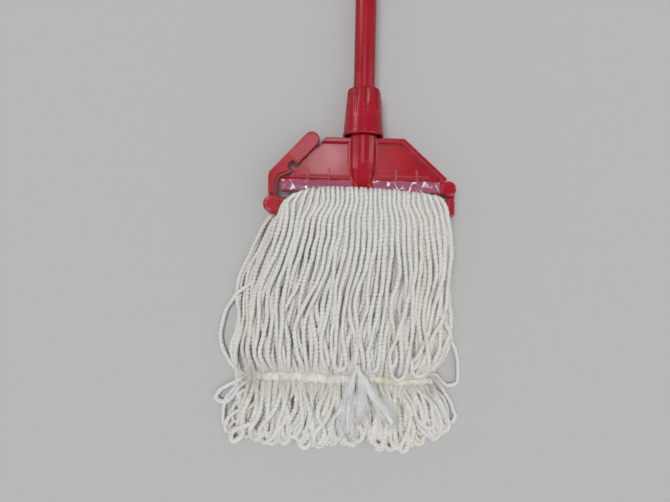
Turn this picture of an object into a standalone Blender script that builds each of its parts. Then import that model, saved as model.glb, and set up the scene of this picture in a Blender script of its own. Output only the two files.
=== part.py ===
"""String mop with a side-lever clamp: moulded clamp, hinged gate bar, latch lever, collar nut, tube handle, yarn.

Metres, +Z up. The mop lies on its back on the floor (z = 0), the handle points along +Y and the picture looks
down from +Z. Every piece is built about the middle of the gate bar; at the end all of them move along Y, so that
the origin is on the floor where the sewn band behind the tail rests.
"""

import math

import bmesh
import bpy
from mathutils import Matrix, Vector

mm = 0.001
smooth_angle = 50

# Clearances
seat_gap = 0.35 * mm
running_gap = 0.5 * mm

# Heights of the lying mop: every moulded piece is built about the plane of the handle's axis
mid_z = 22.0 * mm

# Handle and its end cap
handle_radius = 11.0 * mm
handle_wall = 1.1 * mm
handle_length = 1190.0 * mm
cap_plug_length = 24.0 * mm
cap_flange_radius = 11.8 * mm
cap_flange_length = 6.0 * mm
tab_length = 30.0 * mm
tab_width = 20.0 * mm
tab_depth = 7.0 * mm
hang_hole_radius = 5.0 * mm

# Gate bar (the lower jaw) and the jaw opening above it
bar_low = -8.0 * mm
bar_height = 17.0 * mm
bar_depth = 16.0 * mm
bar_groove_width = 3.2 * mm
bar_groove_depth = 3.0 * mm
bar_groove_y = -1.4 * mm
jaw_opening = 6.4 * mm
tooth_count = 5
tooth_pitch = 32.0 * mm
tooth_radius = 1.7 * mm
tooth_length = 4.4 * mm

# Pivots: the gate hinge at the right, the lever pivot on the gate's left end
gate_pivot = Vector((89.2 * mm, 21.0 * mm))
lever_pivot = Vector((-93.0 * mm, 2.0 * mm))
pin_radius = 2.5 * mm
eye_depth = 7.6 * mm
cheek_depth = 5.0 * mm
fork_overlap = 0.6 * mm
gate_eye_radius = 7.6 * mm
gate_cheek_radius = 8.2 * mm
lever_eye_radius = 8.6 * mm
lever_cheek_radius = 9.9 * mm
knob_radius = 7.0 * mm
knob_height = 1.8 * mm
arm_width = 8.8 * mm

# Clamp body: plate, rim and jaw lip
plate_top = 72.5 * mm
plate_skin = 3.0 * mm
rim_depth = 14.0 * mm
rim_width = 5.4 * mm
plate_top_left = -39.1 * mm
plate_top_right = 42.9 * mm
plate_corner_right = Vector((88.4 * mm, 31.3 * mm))
left_edge_angle = math.radians(46.5)
socket_side = 16.0 * mm
web_foot = 11.6 * mm
lip_left = -85.2 * mm
lip_right = 85.5 * mm
lip_height = 14.1 * mm
lip_depth = 17.0 * mm
lip_root_depth = 9.0 * mm
rib_near = 35.0 * mm
rib_far = 57.0 * mm
rib_thickness = 1.4 * mm
rib_reach = 11.5 * mm
bead_radius = 1.1 * mm
bead_offset = 3.6 * mm

# Socket for the handle
socket_radius = 14.8 * mm
collet_radius = 14.2 * mm
socket_floor = 50.0 * mm
socket_mouth = 112.0 * mm
collet_slot_width = 1.8 * mm
collet_slot_length = 14.0 * mm
bullet_tip = 21.0 * mm
bullet_start = 46.0 * mm
bullet_tip_radius = 6.6 * mm

# Collar nut and the ring it presses on
ring_length = 7.0 * mm
nut_length = 49.4 * mm
nut_lip = 4.3 * mm
nut_rim_radius = 21.4 * mm
nut_top_radius = 17.4 * mm
nut_skirt_wall = 2.0 * mm
nut_skirt_length = 16.0 * mm
flute_count = 10
flute_radius = 3.1 * mm
flute_depth = 2.2 * mm
flute_length = 22.0 * mm

# Latch lever and the catch that it hooks on
lever_depth = 15.0 * mm
lever_edge_gap = 0.9 * mm
grip_width = 16.0 * mm
grip_length = 32.5 * mm
catch_width = 3.6 * mm
catch_reach = 3.0 * mm
catch_depth = 9.0 * mm
catch_offset = -2.45 * mm
mouth_below = 0.75 * mm
mouth_width = 8.2 * mm
mouth_reach = 7.0 * mm
tongue_reach = 3.4 * mm
tongue_start = 5.0 * mm
tongue_end = 30.0 * mm
ridge_count = 3
ridge_radius = 1.5 * mm
ridge_height = 0.8 * mm
flange_width = 3.2 * mm
flange_drop = 4.0 * mm
shaft_width = 8.8 * mm
grip_wall = 2.4 * mm
grip_skin = 3.6 * mm

# Clear film over the jaw lip
film_thickness = 0.45 * mm
film_top_drop = 2.6 * mm
film_left = -84.0 * mm
film_right = 80.0 * mm

# Mop head: the band in the jaw, the yarn and the sewn tail bands
band_left = -78.0 * mm
band_right = 79.0 * mm
band_core_depth = 6.0 * mm
slice_depth = 4.5 * mm
bunch_count = 5
outer_columns = 6
inner_columns = 2
yarn_radius = 2.3 * mm
tail_y = -182.0 * mm
fringe_length = 68.0 * mm
layer_pitch = 5.15 * mm
tail_band_width = 9.0 * mm
tail_band_thickness = 1.0 * mm
tail_band_sag = 5.0 * mm
tuft_strands = 7
tuft_length = 66.0 * mm
tuft_spread = 44.0 * mm
tuft_radius = 1.9 * mm

# Places that follow from the sizes above
bar_high = bar_low + bar_height
lip_low = bar_high + jaw_opening
crease = lip_low + lip_height
slot_depth = eye_depth + 2 * running_gap
ring_low = socket_mouth + seat_gap
nut_shoulder = ring_low + ring_length + seat_gap
nut_top = nut_shoulder + nut_lip
nut_low = nut_top - nut_length
handle_low = socket_floor + seat_gap
handle_high = handle_low + handle_length
bore_radius = handle_radius + seat_gap
thread_bore = socket_radius + running_gap

for old in list(bpy.data.objects):
    bpy.data.objects.remove(old)

parts = bpy.data.collections.new("string_mop")
cutters = bpy.data.collections.new("cutters")
for group in (parts, cutters):
    bpy.context.scene.collection.children.link(group)
cutters.hide_render = True


def place(name, mesh, helper=False):
    """A new object in the mop's collection, or a hidden wire helper among the cutters."""
    obj = bpy.data.objects.new(name, mesh)
    if helper:
        cutters.objects.link(obj)
        obj.hide_render = True
        obj.display_type = "WIRE"
    else:
        parts.objects.link(obj)
    return obj


def mesh_of(name, bm):
    """The finished mesh, smooth where it is round and sharp at its corners."""
    bmesh.ops.recalc_face_normals(bm, faces=bm.faces[:])
    mesh = bpy.data.meshes.new(name)
    bm.to_mesh(mesh)
    bm.free()
    mesh.shade_smooth()
    mesh.set_sharp_from_angle(angle=math.radians(smooth_angle))
    return mesh


def prism(name, outline, low, high, direction="Z", helper=True):
    """A flat outline pushed from low to high along one axis; a Y-Z outline is pushed along X."""
    bm = bmesh.new()
    if direction == "Z":
        corners = [bm.verts.new((a, b, low)) for a, b in outline]
        push = Vector((0, 0, high - low))
    else:
        corners = [bm.verts.new((low, a, b)) for a, b in outline]
        push = Vector((high - low, 0, 0))
    face = bm.faces.new(corners)
    grown = bmesh.ops.extrude_face_region(bm, geom=[face])
    moved = [v for v in grown["geom"] if isinstance(v, bmesh.types.BMVert)]
    bmesh.ops.translate(bm, vec=push, verts=moved)
    return place(name, mesh_of(name, bm), helper)


def block(name, x_range, y_range, z_range, helper=True):
    outline = [
        (x_range[0], y_range[0]),
        (x_range[1], y_range[0]),
        (x_range[1], y_range[1]),
        (x_range[0], y_range[1]),
    ]
    return prism(name, outline, z_range[0], z_range[1], helper=helper)


def disc(name, centre, radius, half_depth, offset=0.0, sides=20, helper=True):
    """A round slice about a Z axis through centre, half_depth each way from the mid plane plus offset."""
    bm = bmesh.new()
    where = Matrix.Translation((centre[0], centre[1], mid_z + offset))
    bmesh.ops.create_cone(
        bm,
        cap_ends=True,
        segments=sides,
        radius1=radius,
        radius2=radius,
        depth=2 * half_depth,
        matrix=where,
    )
    return place(name, mesh_of(name, bm), helper)


def turned(name, profile, steps=40, helper=False):
    """A closed (radius, y) profile turned about the handle's axis by a Screw modifier."""
    following = profile[1:] + profile[:1]
    area = sum(a[0] * b[1] - b[0] * a[1] for a, b in zip(profile, following))
    if area > 0:
        profile = profile[::-1]
    bm = bmesh.new()
    points = [bm.verts.new((r, y, 0)) for r, y in profile]
    closed_on_axis = profile[0][0] == 0 and profile[-1][0] == 0
    for i in range(len(points) - 1):
        bm.edges.new((points[i], points[i + 1]))
    if not closed_on_axis:
        bm.edges.new((points[-1], points[0]))
    mesh = bpy.data.meshes.new(name)
    bm.to_mesh(mesh)
    bm.free()
    obj = place(name, mesh, helper)
    obj.location = (0, 0, mid_z)
    screw = obj.modifiers.new("turn", "SCREW")
    screw.axis = "Y"
    screw.steps = steps
    screw.render_steps = steps
    screw.use_merge_vertices = True
    screw.merge_threshold = 1e-5
    return obj


def soften(obj, width, segments=2, angle=40):
    bevel = obj.modifiers.new("soften", "BEVEL")
    bevel.width = width
    bevel.segments = segments
    bevel.limit_method = "ANGLE"
    bevel.angle_limit = math.radians(angle)
    return obj


def combine(obj, other, operation):
    step = obj.modifiers.new(operation.lower() + "_" + other.name, "BOOLEAN")
    step.operation = operation
    step.solver = "EXACT"
    step.object = other
    return obj


def add(obj, other):
    return combine(obj, other, "UNION")


def cut(obj, other):
    return combine(obj, other, "DIFFERENCE")


def set_origin(obj, point):
    """Moves the object's origin to the joint's axis and leaves the shape where it is."""
    where = Vector(point)
    obj.data.transform(Matrix.Translation(obj.location - where))
    obj.location = where


def paint(obj, colour, roughness, metallic=0.0, alpha=1.0):
    material = bpy.data.materials.new(obj.name)
    material.use_nodes = True
    shader = material.node_tree.nodes["Principled BSDF"]
    shader.inputs["Base Color"].default_value = (*colour, 1.0)
    shader.inputs["Roughness"].default_value = roughness
    shader.inputs["Metallic"].default_value = metallic
    shader.inputs["Alpha"].default_value = alpha
    obj.data.materials.clear()
    obj.data.materials.append(material)
    return obj


def mirrored(profile):
    """A Y-Z half profile in front of the mid plane, closed by its mirror image behind it."""
    front = [(y, mid_z + half) for y, half in profile]
    back = [(y, mid_z - half) for y, half in reversed(profile)]
    return front + back


red = (0.56, 0.012, 0.028)
cream = (0.80, 0.76, 0.66)
white = (0.86, 0.86, 0.84)
steel = (0.55, 0.55, 0.56)

# Left slanted edge of the plate, with the lever's own measure along it and out from it
edge_along = Vector((math.cos(left_edge_angle), math.sin(left_edge_angle)))
edge_out = Vector((-math.sin(left_edge_angle), math.cos(left_edge_angle)))
edge_top = Vector((plate_top_left, plate_top))
edge_reach = 44.2 * mm
edge_origin = edge_top - edge_along * edge_reach


def on_edge(along, out):
    return edge_origin + edge_along * along + edge_out * out


# Clamp body
def lip_profile(grow=0.0):
    """Half depth of the jaw lip from its root at the crease to its rounded lower edge."""
    half = lip_depth / 2
    return [
        (crease + 1.0 * mm, lip_root_depth / 2 + grow),
        (lip_low + 0.42 * lip_height, half - 0.3 * mm + grow),
        (lip_low + 2.0 * mm + 0.2 * grow, half + grow),
        (lip_low + 0.5 * mm - 0.3 * grow, half - 1.1 * mm + 0.7 * grow),
    ]


def clamp_body():
    hidden = crease - 5.0 * mm
    top_right = Vector((plate_top_right, plate_top))
    left_low = (hidden - edge_origin.y) / edge_along.y
    skin = [
        tuple(on_edge(left_low, -0.8 * mm)),
        (lip_right - 2.0 * mm, hidden),
        tuple(plate_corner_right - Vector((1.0 * mm, 0.0))),
        (plate_top_right - 1.0 * mm, plate_top - 1.0 * mm),
        tuple(edge_top + Vector((1.0 * mm, -1.0 * mm))),
    ]
    half = plate_skin / 2
    body = prism("clamp_body", skin, mid_z - half, mid_z + half, helper=False)

    # Rim along the top and down the right slope, and the web that narrows with the socket
    slope = (plate_corner_right - top_right).normalized()
    inward = Vector((slope.y, -slope.x))
    inner_top = plate_top - rim_width
    inner_corner = top_right + inward * rim_width
    inner_corner += slope * ((inner_corner.y - inner_top) / -slope.y)
    rim = [
        tuple(plate_corner_right),
        tuple(top_right),
        tuple(edge_top),
        (plate_top_left - rim_width * edge_along.x / edge_along.y, inner_top),
        tuple(inner_corner),
        tuple(plate_corner_right + inward * rim_width),
    ]
    half = rim_depth / 2
    add(body, soften(prism("rim", rim, mid_z - half, mid_z + half), 1.3 * mm))
    low_half = 0.8 * half
    web_top = inner_top + 1.0 * mm
    web = [
        (-web_foot, hidden),
        (web_foot, hidden),
        (socket_side, bullet_start + 2.0 * mm),
        (socket_side, web_top),
        (-socket_side, web_top),
        (-socket_side, bullet_start + 2.0 * mm),
    ]
    add(body, soften(prism("web", web, mid_z - low_half, mid_z + low_half), 1.0 * mm))

    # Tongue of the plate that lies in the lever's channel
    tongue = [
        on_edge(tongue_start, -3.0 * mm),
        on_edge(tongue_end, -3.0 * mm),
        on_edge(tongue_end, tongue_reach),
        on_edge(tongue_start, tongue_reach),
    ]
    inner = plate_skin / 2 - 0.25 * mm
    tongue = [tuple(p) for p in tongue]
    add(body, prism("tongue", tongue, mid_z - inner, mid_z + inner))

    # Jaw lip along the bottom, thickest at its lower edge
    lip = prism("jaw_lip", mirrored(lip_profile()), lip_left, lip_right, "X")
    soften(lip, 1.0 * mm, 2, 60)
    add(body, lip)

    # Thin ribs that brace the plate against the lip, and the bead across the panels
    top = crease + rib_reach
    rib = [
        (top, plate_skin / 2 - 0.4 * mm),
        (top - 1.0 * mm, plate_skin / 2 + 1.0 * mm),
        (crease, lip_root_depth / 2 + 0.9 * mm),
        (lip_low + 0.45 * lip_height, lip_depth / 2 - 0.6 * mm),
    ]
    for x in (-rib_far, -rib_near, rib_near, rib_far):
        edges = (x - rib_thickness / 2, x + rib_thickness / 2)
        add(body, prism(f"rib_{x / mm:.0f}", mirrored(rib), *edges, "X"))
    for side in (-1, 1):
        centre = crease + bead_offset
        turn = [math.pi * i / 6 for i in range(7)]
        arch = [(centre + bead_radius * math.cos(a), bead_radius * math.sin(a)) for a in turn]
        ends = sorted((side * (web_foot - 1.5 * mm), side * (rib_far + 12 * mm)))
        outline = [(y, mid_z + plate_skin / 2 - 0.3 * mm + h) for y, h in arch]
        add(body, prism(f"bead_{side}", outline, *ends, "X"))

    # Socket: a barrel that runs out in a bullet with flattened faces
    span = bullet_start - bullet_tip
    grow = socket_radius - bullet_tip_radius
    curve = [i / 5 for i in range(6)]
    nose = [
        (bullet_tip_radius + grow * math.sin(t * math.pi / 2) ** 0.8, bullet_tip + span * t ** 1.3)
        for t in curve
    ]
    barrel = [(0, bullet_tip)]
    barrel += nose
    barrel += [(socket_radius, socket_mouth - 18 * mm), (collet_radius, socket_mouth - 17 * mm)]
    barrel += [(collet_radius, socket_mouth), (0, socket_mouth)]
    barrel = turned("socket_barrel", barrel, 32, True)
    slot_y = (socket_mouth - collet_slot_length, socket_mouth + 2 * mm)
    half = collet_slot_width / 2
    wide = 2 * socket_radius
    cut(barrel, block("collet_slot_x", (-wide, wide), slot_y, (mid_z - half, mid_z + half)))
    cut(barrel, block("collet_slot_z", (-half, half), slot_y, (mid_z - wide, mid_z + wide)))
    add(body, barrel)
    for side in (-1, 1):
        facet = [
            (bullet_start - 1.0 * mm, mid_z + side * (socket_radius + 0.2 * mm)),
            (bullet_tip - 4.0 * mm, mid_z + side * (bullet_tip_radius - 1.4 * mm)),
            (bullet_tip - 4.0 * mm, mid_z + side * 2 * socket_radius),
            (bullet_start - 1.0 * mm, mid_z + side * 2 * socket_radius),
        ]
        cut(body, prism(f"facet_{side}", facet, -7.5 * mm, 7.5 * mm, "X"))
    bore = [(0, socket_floor), (bore_radius, socket_floor)]
    bore += [(bore_radius, socket_mouth + 5 * mm), (0, socket_mouth + 5 * mm)]
    cut(body, turned("socket_bore", bore, 32, True))

    # Fork of the gate hinge
    for side in (-1, 1):
        offset = side * (slot_depth + cheek_depth - fork_overlap) / 2
        depth = (cheek_depth + fork_overlap) / 2
        cheek = disc(f"gate_cheek_{side}", gate_pivot, gate_cheek_radius, depth, offset)
        add(body, soften(cheek, 2.4 * mm))
    room = gate_cheek_radius + fork_overlap
    cut(body, disc("gate_slot", gate_pivot, room, slot_depth / 2))
    deep = slot_depth / 2 + cheek_depth
    hole = disc("gate_pin_hole", gate_pivot, pin_radius + seat_gap, deep, -1.6 * mm, 16)
    cut(body, hole)

    # Catch for the lever's mouth, standing out of the left edge
    low = catch_offset - catch_width / 2
    high = catch_offset + catch_width / 2
    tip = lever_edge_gap + catch_reach
    stub = [on_edge(low, -2.5 * mm), on_edge(high, -2.5 * mm), on_edge(high, tip), on_edge(low, tip)]
    stub = [tuple(p) for p in stub]
    half = catch_depth / 2
    catch = prism("catch", stub, mid_z - half, mid_z + half)
    add(body, soften(catch, 0.6 * mm, 1))
    return paint(body, red, 0.32)


# Gate bar
def gate_bar():
    half = bar_depth / 2
    floor = half - bar_groove_depth
    g_low = bar_groove_y - bar_groove_width / 2
    g_high = bar_groove_y + bar_groove_width / 2
    section = [
        (bar_high, half - 1.2 * mm),
        (bar_high - 1.2 * mm, half),
        (g_high + 0.5 * mm, half),
        (g_high, floor),
        (g_low, floor),
        (g_low - 0.5 * mm, half),
        (bar_low + 1.2 * mm, half),
        (bar_low, half - 1.2 * mm),
    ]
    arm_right = gate_pivot.x + gate_eye_radius
    arm_left = arm_right - arm_width
    bar = prism("gate_bar", mirrored(section), lever_pivot.x, arm_left + 2 * mm, "X", helper=False)

    # Arm up to the hinge: thick below the fork, thin between its cheeks
    arm_top = gate_pivot.y - gate_cheek_radius - 2.2 * mm
    arm_z = (mid_z - half + 1.0 * mm, mid_z + half - 1.0 * mm)
    arm = block("gate_arm", (arm_left, arm_right), (bar_low, arm_top), arm_z)
    add(bar, soften(arm, 3.4 * mm))
    neck_z = (mid_z - eye_depth / 2, mid_z + eye_depth / 2)
    neck_y = (arm_top - 6 * mm, gate_pivot.y)
    add(bar, block("gate_neck", (arm_left + 0.6 * mm, arm_right - 0.6 * mm), neck_y, neck_z))
    add(bar, disc("gate_eye", gate_pivot, gate_eye_radius, eye_depth / 2))
    cut(bar, disc("gate_eye_hole", gate_pivot, pin_radius + seat_gap, eye_depth, 0.0, 16))

    # Fork for the lever, with domed cheeks
    for side in (-1, 1):
        offset = side * (slot_depth + cheek_depth - fork_overlap) / 2
        depth = (cheek_depth + fork_overlap) / 2
        cheek = disc(f"lever_cheek_{side}", lever_pivot, lever_cheek_radius, depth, offset)
        add(bar, soften(cheek, 2.2 * mm))
    knob_z = slot_depth / 2 + cheek_depth
    knob = disc("lever_knob", lever_pivot, knob_radius, knob_height, knob_z - 0.3 * mm)
    add(bar, soften(knob, 1.7 * mm))
    room = lever_cheek_radius + fork_overlap
    cut(bar, disc("lever_slot", lever_pivot, room, slot_depth / 2))
    open_x = (lever_pivot.x - 2 * lever_cheek_radius, lever_pivot.x)
    open_y = (bar_low - 5 * mm, bar_high + 9 * mm)
    slot_z = (mid_z - slot_depth / 2, mid_z + slot_depth / 2)
    cut(bar, block("lever_slot_mouth", open_x, open_y, slot_z))
    deep = slot_depth / 2 + cheek_depth
    cut(bar, disc("lever_pin_hole", lever_pivot, pin_radius + seat_gap, deep, -1.6 * mm, 16))

    # Teeth that grip the band
    for i in range(tooth_count):
        bm = bmesh.new()
        x = (i - (tooth_count - 1) / 2) * tooth_pitch
        sunk = 0.8 * mm
        middle = bar_high + (tooth_length - sunk) / 2
        where = Matrix.Translation((x, middle, mid_z)) @ Matrix.Rotation(-math.pi / 2, 4, "X")
        bmesh.ops.create_cone(
            bm,
            cap_ends=True,
            segments=8,
            radius1=tooth_radius,
            radius2=0.35 * tooth_radius,
            depth=tooth_length + sunk,
            matrix=where,
        )
        add(bar, place(f"tooth_{i}", mesh_of(f"tooth_{i}", bm), True))
    paint(bar, red, 0.35)
    set_origin(bar, (gate_pivot.x, gate_pivot.y, mid_z))
    return bar


# Latch lever
def release_lever():
    inner = lever_edge_gap
    outer = lever_edge_gap + grip_width
    mouth_low = catch_offset - catch_width / 2 - mouth_below
    mouth_high = mouth_low + mouth_width
    deep = inner + mouth_reach
    shaft_left = lever_pivot.x - shaft_width / 2 - 0.9 * mm
    shaft_right = shaft_left + shaft_width
    shaft_low = lever_pivot.y + lever_cheek_radius + 1.1 * mm
    turn = [-math.pi / 2 + math.pi * i / 9 for i in range(10)]
    middle = (inner + outer) / 2
    end = [
        on_edge(grip_length + grip_width / 2 * math.cos(a), middle + grip_width / 2 * math.sin(a))
        for a in turn
    ]
    bend = on_edge(-22.2 * mm, outer)
    outline = end + [
        bend,
        Vector((shaft_left, bend.y - 5.5 * mm)),
        Vector((shaft_left, shaft_low)),
        Vector((shaft_right, shaft_low)),
        Vector((shaft_right, crease - 5.0 * mm)),
        Vector((shaft_right + 2.9 * mm, crease + 1.0 * mm)),
        on_edge(mouth_low - 3.4 * mm, inner + 0.5 * mm),
        on_edge(mouth_low, inner),
        on_edge(mouth_low, deep - 1.8 * mm),
        on_edge(mouth_low + 1.8 * mm, deep),
        on_edge(mouth_high - 1.6 * mm, deep),
        on_edge(mouth_high, deep - 1.6 * mm),
        on_edge(mouth_high, inner),
    ]
    half = lever_depth / 2
    outline = [tuple(p) for p in outline]
    lever = prism("release_lever", outline, mid_z - half, mid_z + half, helper=False)
    soften(lever, 1.3 * mm, 2, 50)

    # Thin shank and eye between the cheeks of the fork
    thin = (mid_z - eye_depth / 2, mid_z + eye_depth / 2)
    shank_y = (lever_pivot.y, shaft_low + 5 * mm)
    add(lever, block("lever_shank", (shaft_left + 0.5 * mm, shaft_right - 0.5 * mm), shank_y, thin))
    add(lever, disc("lever_eye", lever_pivot, lever_eye_radius, eye_depth / 2))
    cut(lever, disc("lever_eye_hole", lever_pivot, pin_radius + seat_gap, eye_depth, 0.0, 16))

    # Channel that takes the plate's tongue, open towards the plate
    channel = [
        on_edge(mouth_high - mm, -2.0 * mm),
        on_edge(2 * grip_length, -2.0 * mm),
        on_edge(2 * grip_length, tongue_reach + running_gap),
        on_edge(mouth_high - mm, tongue_reach + running_gap),
    ]
    room = plate_skin / 2 + running_gap
    cut(lever, prism("channel", [tuple(p) for p in channel], mid_z - room, mid_z + room))

    # Lower flange along the inner side, from the pivot up to the mouth
    step = [
        Vector((shaft_right - flange_width, shaft_low - 2 * mm)),
        Vector((shaft_right + 2 * mm, shaft_low - 2 * mm)),
        Vector((shaft_right + 2 * mm, crease - 6.0 * mm)),
        Vector((shaft_right + 5.0 * mm, crease - mm)),
        on_edge(mouth_low - 3.4 * mm, inner - 1.5 * mm),
        on_edge(mouth_low + mm, inner - 1.5 * mm),
        on_edge(mouth_low + mm, inner + flange_width),
        on_edge(mouth_low - 4.0 * mm, inner + flange_width + 0.5 * mm),
        Vector((shaft_right + 0.6 * mm, crease + 3.4 * mm)),
        Vector((shaft_right - flange_width, crease - 4.0 * mm)),
    ]
    top = (mid_z + half - flange_drop, mid_z + half + mm)
    cut(lever, prism("flange_step", [tuple(p) for p in step], *top))

    # Finger ridges along the grip
    for i in range(ridge_count):
        out = inner + grip_width * (i + 1.1) / (ridge_count + 1.2)
        start = mouth_high + 3.0 * mm
        stop = grip_length + 1.0 * mm
        middle_point = on_edge((start + stop) / 2, out)
        lift = mid_z + half + ridge_height - ridge_radius
        turn = Matrix.Rotation(left_edge_angle, 4, "Z") @ Matrix.Rotation(math.pi / 2, 4, "Y")
        bm = bmesh.new()
        bmesh.ops.create_cone(
            bm,
            cap_ends=True,
            segments=10,
            radius1=ridge_radius,
            radius2=ridge_radius,
            depth=stop - start,
            matrix=Matrix.Translation((*middle_point, lift)) @ turn,
        )
        add(lever, place(f"ridge_{i}", mesh_of(f"ridge_{i}", bm), True))

    # Hollow behind the grip, as on a moulded lever
    low = mouth_high + grip_wall
    high = grip_length + grip_width / 2 - grip_wall - 3 * mm
    hollow = [
        on_edge(low, inner + grip_wall),
        on_edge(high - 3 * mm, inner + grip_wall),
        on_edge(high, middle - 2 * mm),
        on_edge(high, middle + 2 * mm),
        on_edge(high - 3 * mm, outer - grip_wall),
        on_edge(low, outer - grip_wall),
    ]
    hollow = [tuple(p) for p in hollow]
    cut(lever, prism("grip_hollow", hollow, mid_z - half - mm, mid_z + half - grip_skin))
    paint(lever, red, 0.33)
    set_origin(lever, (lever_pivot.x, lever_pivot.y, mid_z))
    return lever


def pin(name, centre):
    """A plain steel pin, in from the back, that ends in the blind hole of the front cheek."""
    long = slot_depth / 2 + cheek_depth
    low = -long + 0.4 * mm
    high = long - 1.6 * mm - seat_gap
    middle = (low + high) / 2
    obj = disc(name, centre, pin_radius, (high - low) / 2, middle, 16, helper=False)
    paint(obj, steel, 0.3, 1.0)
    set_origin(obj, (centre[0], centre[1], mid_z))
    return obj


# Collar nut and ring
def lock_nut():
    skirt_top = nut_low + nut_skirt_length
    profile = [
        (bore_radius, nut_top),
        (bore_radius, nut_shoulder),
        (thread_bore, nut_shoulder),
        (thread_bore, skirt_top),
        (nut_rim_radius - nut_skirt_wall - 0.6 * mm, skirt_top - 2.0 * mm),
        (nut_rim_radius - nut_skirt_wall, nut_low),
        (nut_rim_radius - 0.6 * mm, nut_low),
        (nut_rim_radius, nut_low + 0.9 * mm),
        (nut_rim_radius - 0.2 * mm, nut_low + 4.0 * mm),
        (nut_top_radius, nut_top - 3.6 * mm),
        (nut_top_radius - 0.6 * mm, nut_top - 1.6 * mm),
        (nut_top_radius - 2.2 * mm, nut_top),
    ]
    nut = turned("lock_nut", profile, 32)
    bm = bmesh.new()
    slope = (nut_rim_radius - nut_top_radius) / nut_length
    bottom_y = nut_top - flute_length
    bottom_r = nut_top_radius + slope * flute_length + flute_radius
    top_r = nut_top_radius - flute_depth + flute_radius
    lean = math.atan2(bottom_r - top_r, flute_length)
    length = 2.2 * flute_length
    for i in range(flute_count):
        turn = Matrix.Rotation(2 * math.pi * (i + 0.18) / flute_count, 4, "Y")
        centre = Matrix.Translation((0, (nut_top + bottom_y) / 2, (top_r + bottom_r) / 2))
        tilt = Matrix.Rotation(-math.pi / 2 - lean, 4, "X")
        bmesh.ops.create_cone(
            bm,
            cap_ends=True,
            segments=8,
            radius1=flute_radius,
            radius2=flute_radius,
            depth=length,
            matrix=Matrix.Translation((0, 0, mid_z)) @ turn @ centre @ tilt,
        )
    cut(nut, place("flutes", mesh_of("flutes", bm), True))
    return paint(nut, red, 0.36)


def thrust_ring():
    inside = bore_radius + 0.1 * mm
    outside = thread_bore - running_gap
    profile = [
        (inside, ring_low + ring_length),
        (inside, ring_low),
        (outside, ring_low),
        (outside, ring_low + 0.5 * ring_length),
        (outside - 1.2 * mm, ring_low + ring_length),
    ]
    return paint(turned("thrust_ring", profile, 20), white, 0.45)


# Handle
def handle_tube():
    inside = handle_radius - handle_wall
    profile = [
        (inside, handle_high),
        (inside, handle_low),
        (handle_radius - 0.3 * mm, handle_low),
        (handle_radius, handle_low + 0.5 * mm),
        (handle_radius, handle_high - 0.4 * mm),
        (handle_radius - 0.3 * mm, handle_high),
    ]
    return paint(turned("handle_tube", profile, 32), red, 0.3)


def hanger_cap():
    low = handle_high + seat_gap
    plug = handle_radius - handle_wall - seat_gap
    top = low + cap_flange_length
    profile = [
        (0, handle_high - cap_plug_length),
        (plug - 0.8 * mm, handle_high - cap_plug_length),
        (plug, handle_high - cap_plug_length + 1.0 * mm),
        (plug, low),
        (cap_flange_radius, low),
        (cap_flange_radius, top - 1.5 * mm),
        (cap_flange_radius - 1.5 * mm, top),
        (0, top),
    ]
    cap = turned("hanger_cap", profile, 24)
    half = tab_width / 2
    centre_y = top + tab_length - half
    turn = [math.pi * i / 12 for i in range(13)]
    outline = [(-half, top - 2 * mm), (half, top - 2 * mm)]
    outline += [(half * math.cos(a), centre_y + half * math.sin(a)) for a in turn]
    add(cap, prism("hang_tab", outline, mid_z - tab_depth / 2, mid_z + tab_depth / 2))
    cut(cap, disc("hang_hole", (0, centre_y), hang_hole_radius, tab_depth, 0.0, 24))
    return paint(cap, red, 0.4)


# Clear film over the lip
def jaw_film():
    def over_lip(grow):
        """The lip's front from a little below the crease to its rounded edge, grown outwards."""
        root, shoulder, edge = lip_profile(grow)[:3]
        share = film_top_drop / (root[0] - shoulder[0])
        top = tuple(a + (b - a) * share for a, b in zip(root, shoulder))
        return [top, shoulder, edge]

    outline = [(y, mid_z + half) for y, half in over_lip(seat_gap)]
    outline += [(y, mid_z + half) for y, half in reversed(over_lip(seat_gap + film_thickness))]
    film = prism("jaw_film", outline, film_left, film_right, "X", helper=False)
    for x in (-rib_far, -rib_near, rib_near, rib_far):
        edges = (x - rib_thickness / 2 - seat_gap, x + rib_thickness / 2 + seat_gap)
        reach = (crease - 2.5 * mm, crease + 3 * mm)
        cut(film, block(f"film_slit_{x / mm:.0f}", edges, reach, (mid_z, mid_z + lip_depth)))
    nose_x = (-web_foot - running_gap, web_foot + running_gap)
    nose_y = (bullet_tip - 1.2 * mm, crease + 3 * mm)
    cut(film, block("film_round_nose", nose_x, nose_y, (mid_z, mid_z + lip_depth)))
    return paint(film, (0.9, 0.85, 0.88), 0.1, 0.0, 0.3)


# Mop head
def head_band():
    y_range = (bar_high + seat_gap, lip_low - seat_gap)
    z_range = (mid_z - band_core_depth / 2, mid_z + band_core_depth / 2)
    band = block("head_band", (band_left, band_right), y_range, z_range, helper=False)
    for i in range(tooth_count):
        x = (i - (tooth_count - 1) / 2) * tooth_pitch
        room = tooth_radius + seat_gap
        hole_y = (bar_high - mm, bar_high + tooth_length + seat_gap)
        hole = block(f"tooth_hole_{i}", (x - room, x + room), hole_y, (mid_z - room, mid_z + room))
        cut(band, hole)
    return paint(band, cream, 0.9)


# Spread of the strands: centre and half width at the jaw, half way down, at the tail band and at the loops
front_spread = {"centre": (0.5, -5.0, -12.0, -15.0), "half": (78.0, 99.0, 93.0, 108.0)}
back_spread = {"centre": (0.5, -17.0, -25.0, -31.0), "half": (78.0, 108.0, 103.0, 116.0)}


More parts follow.
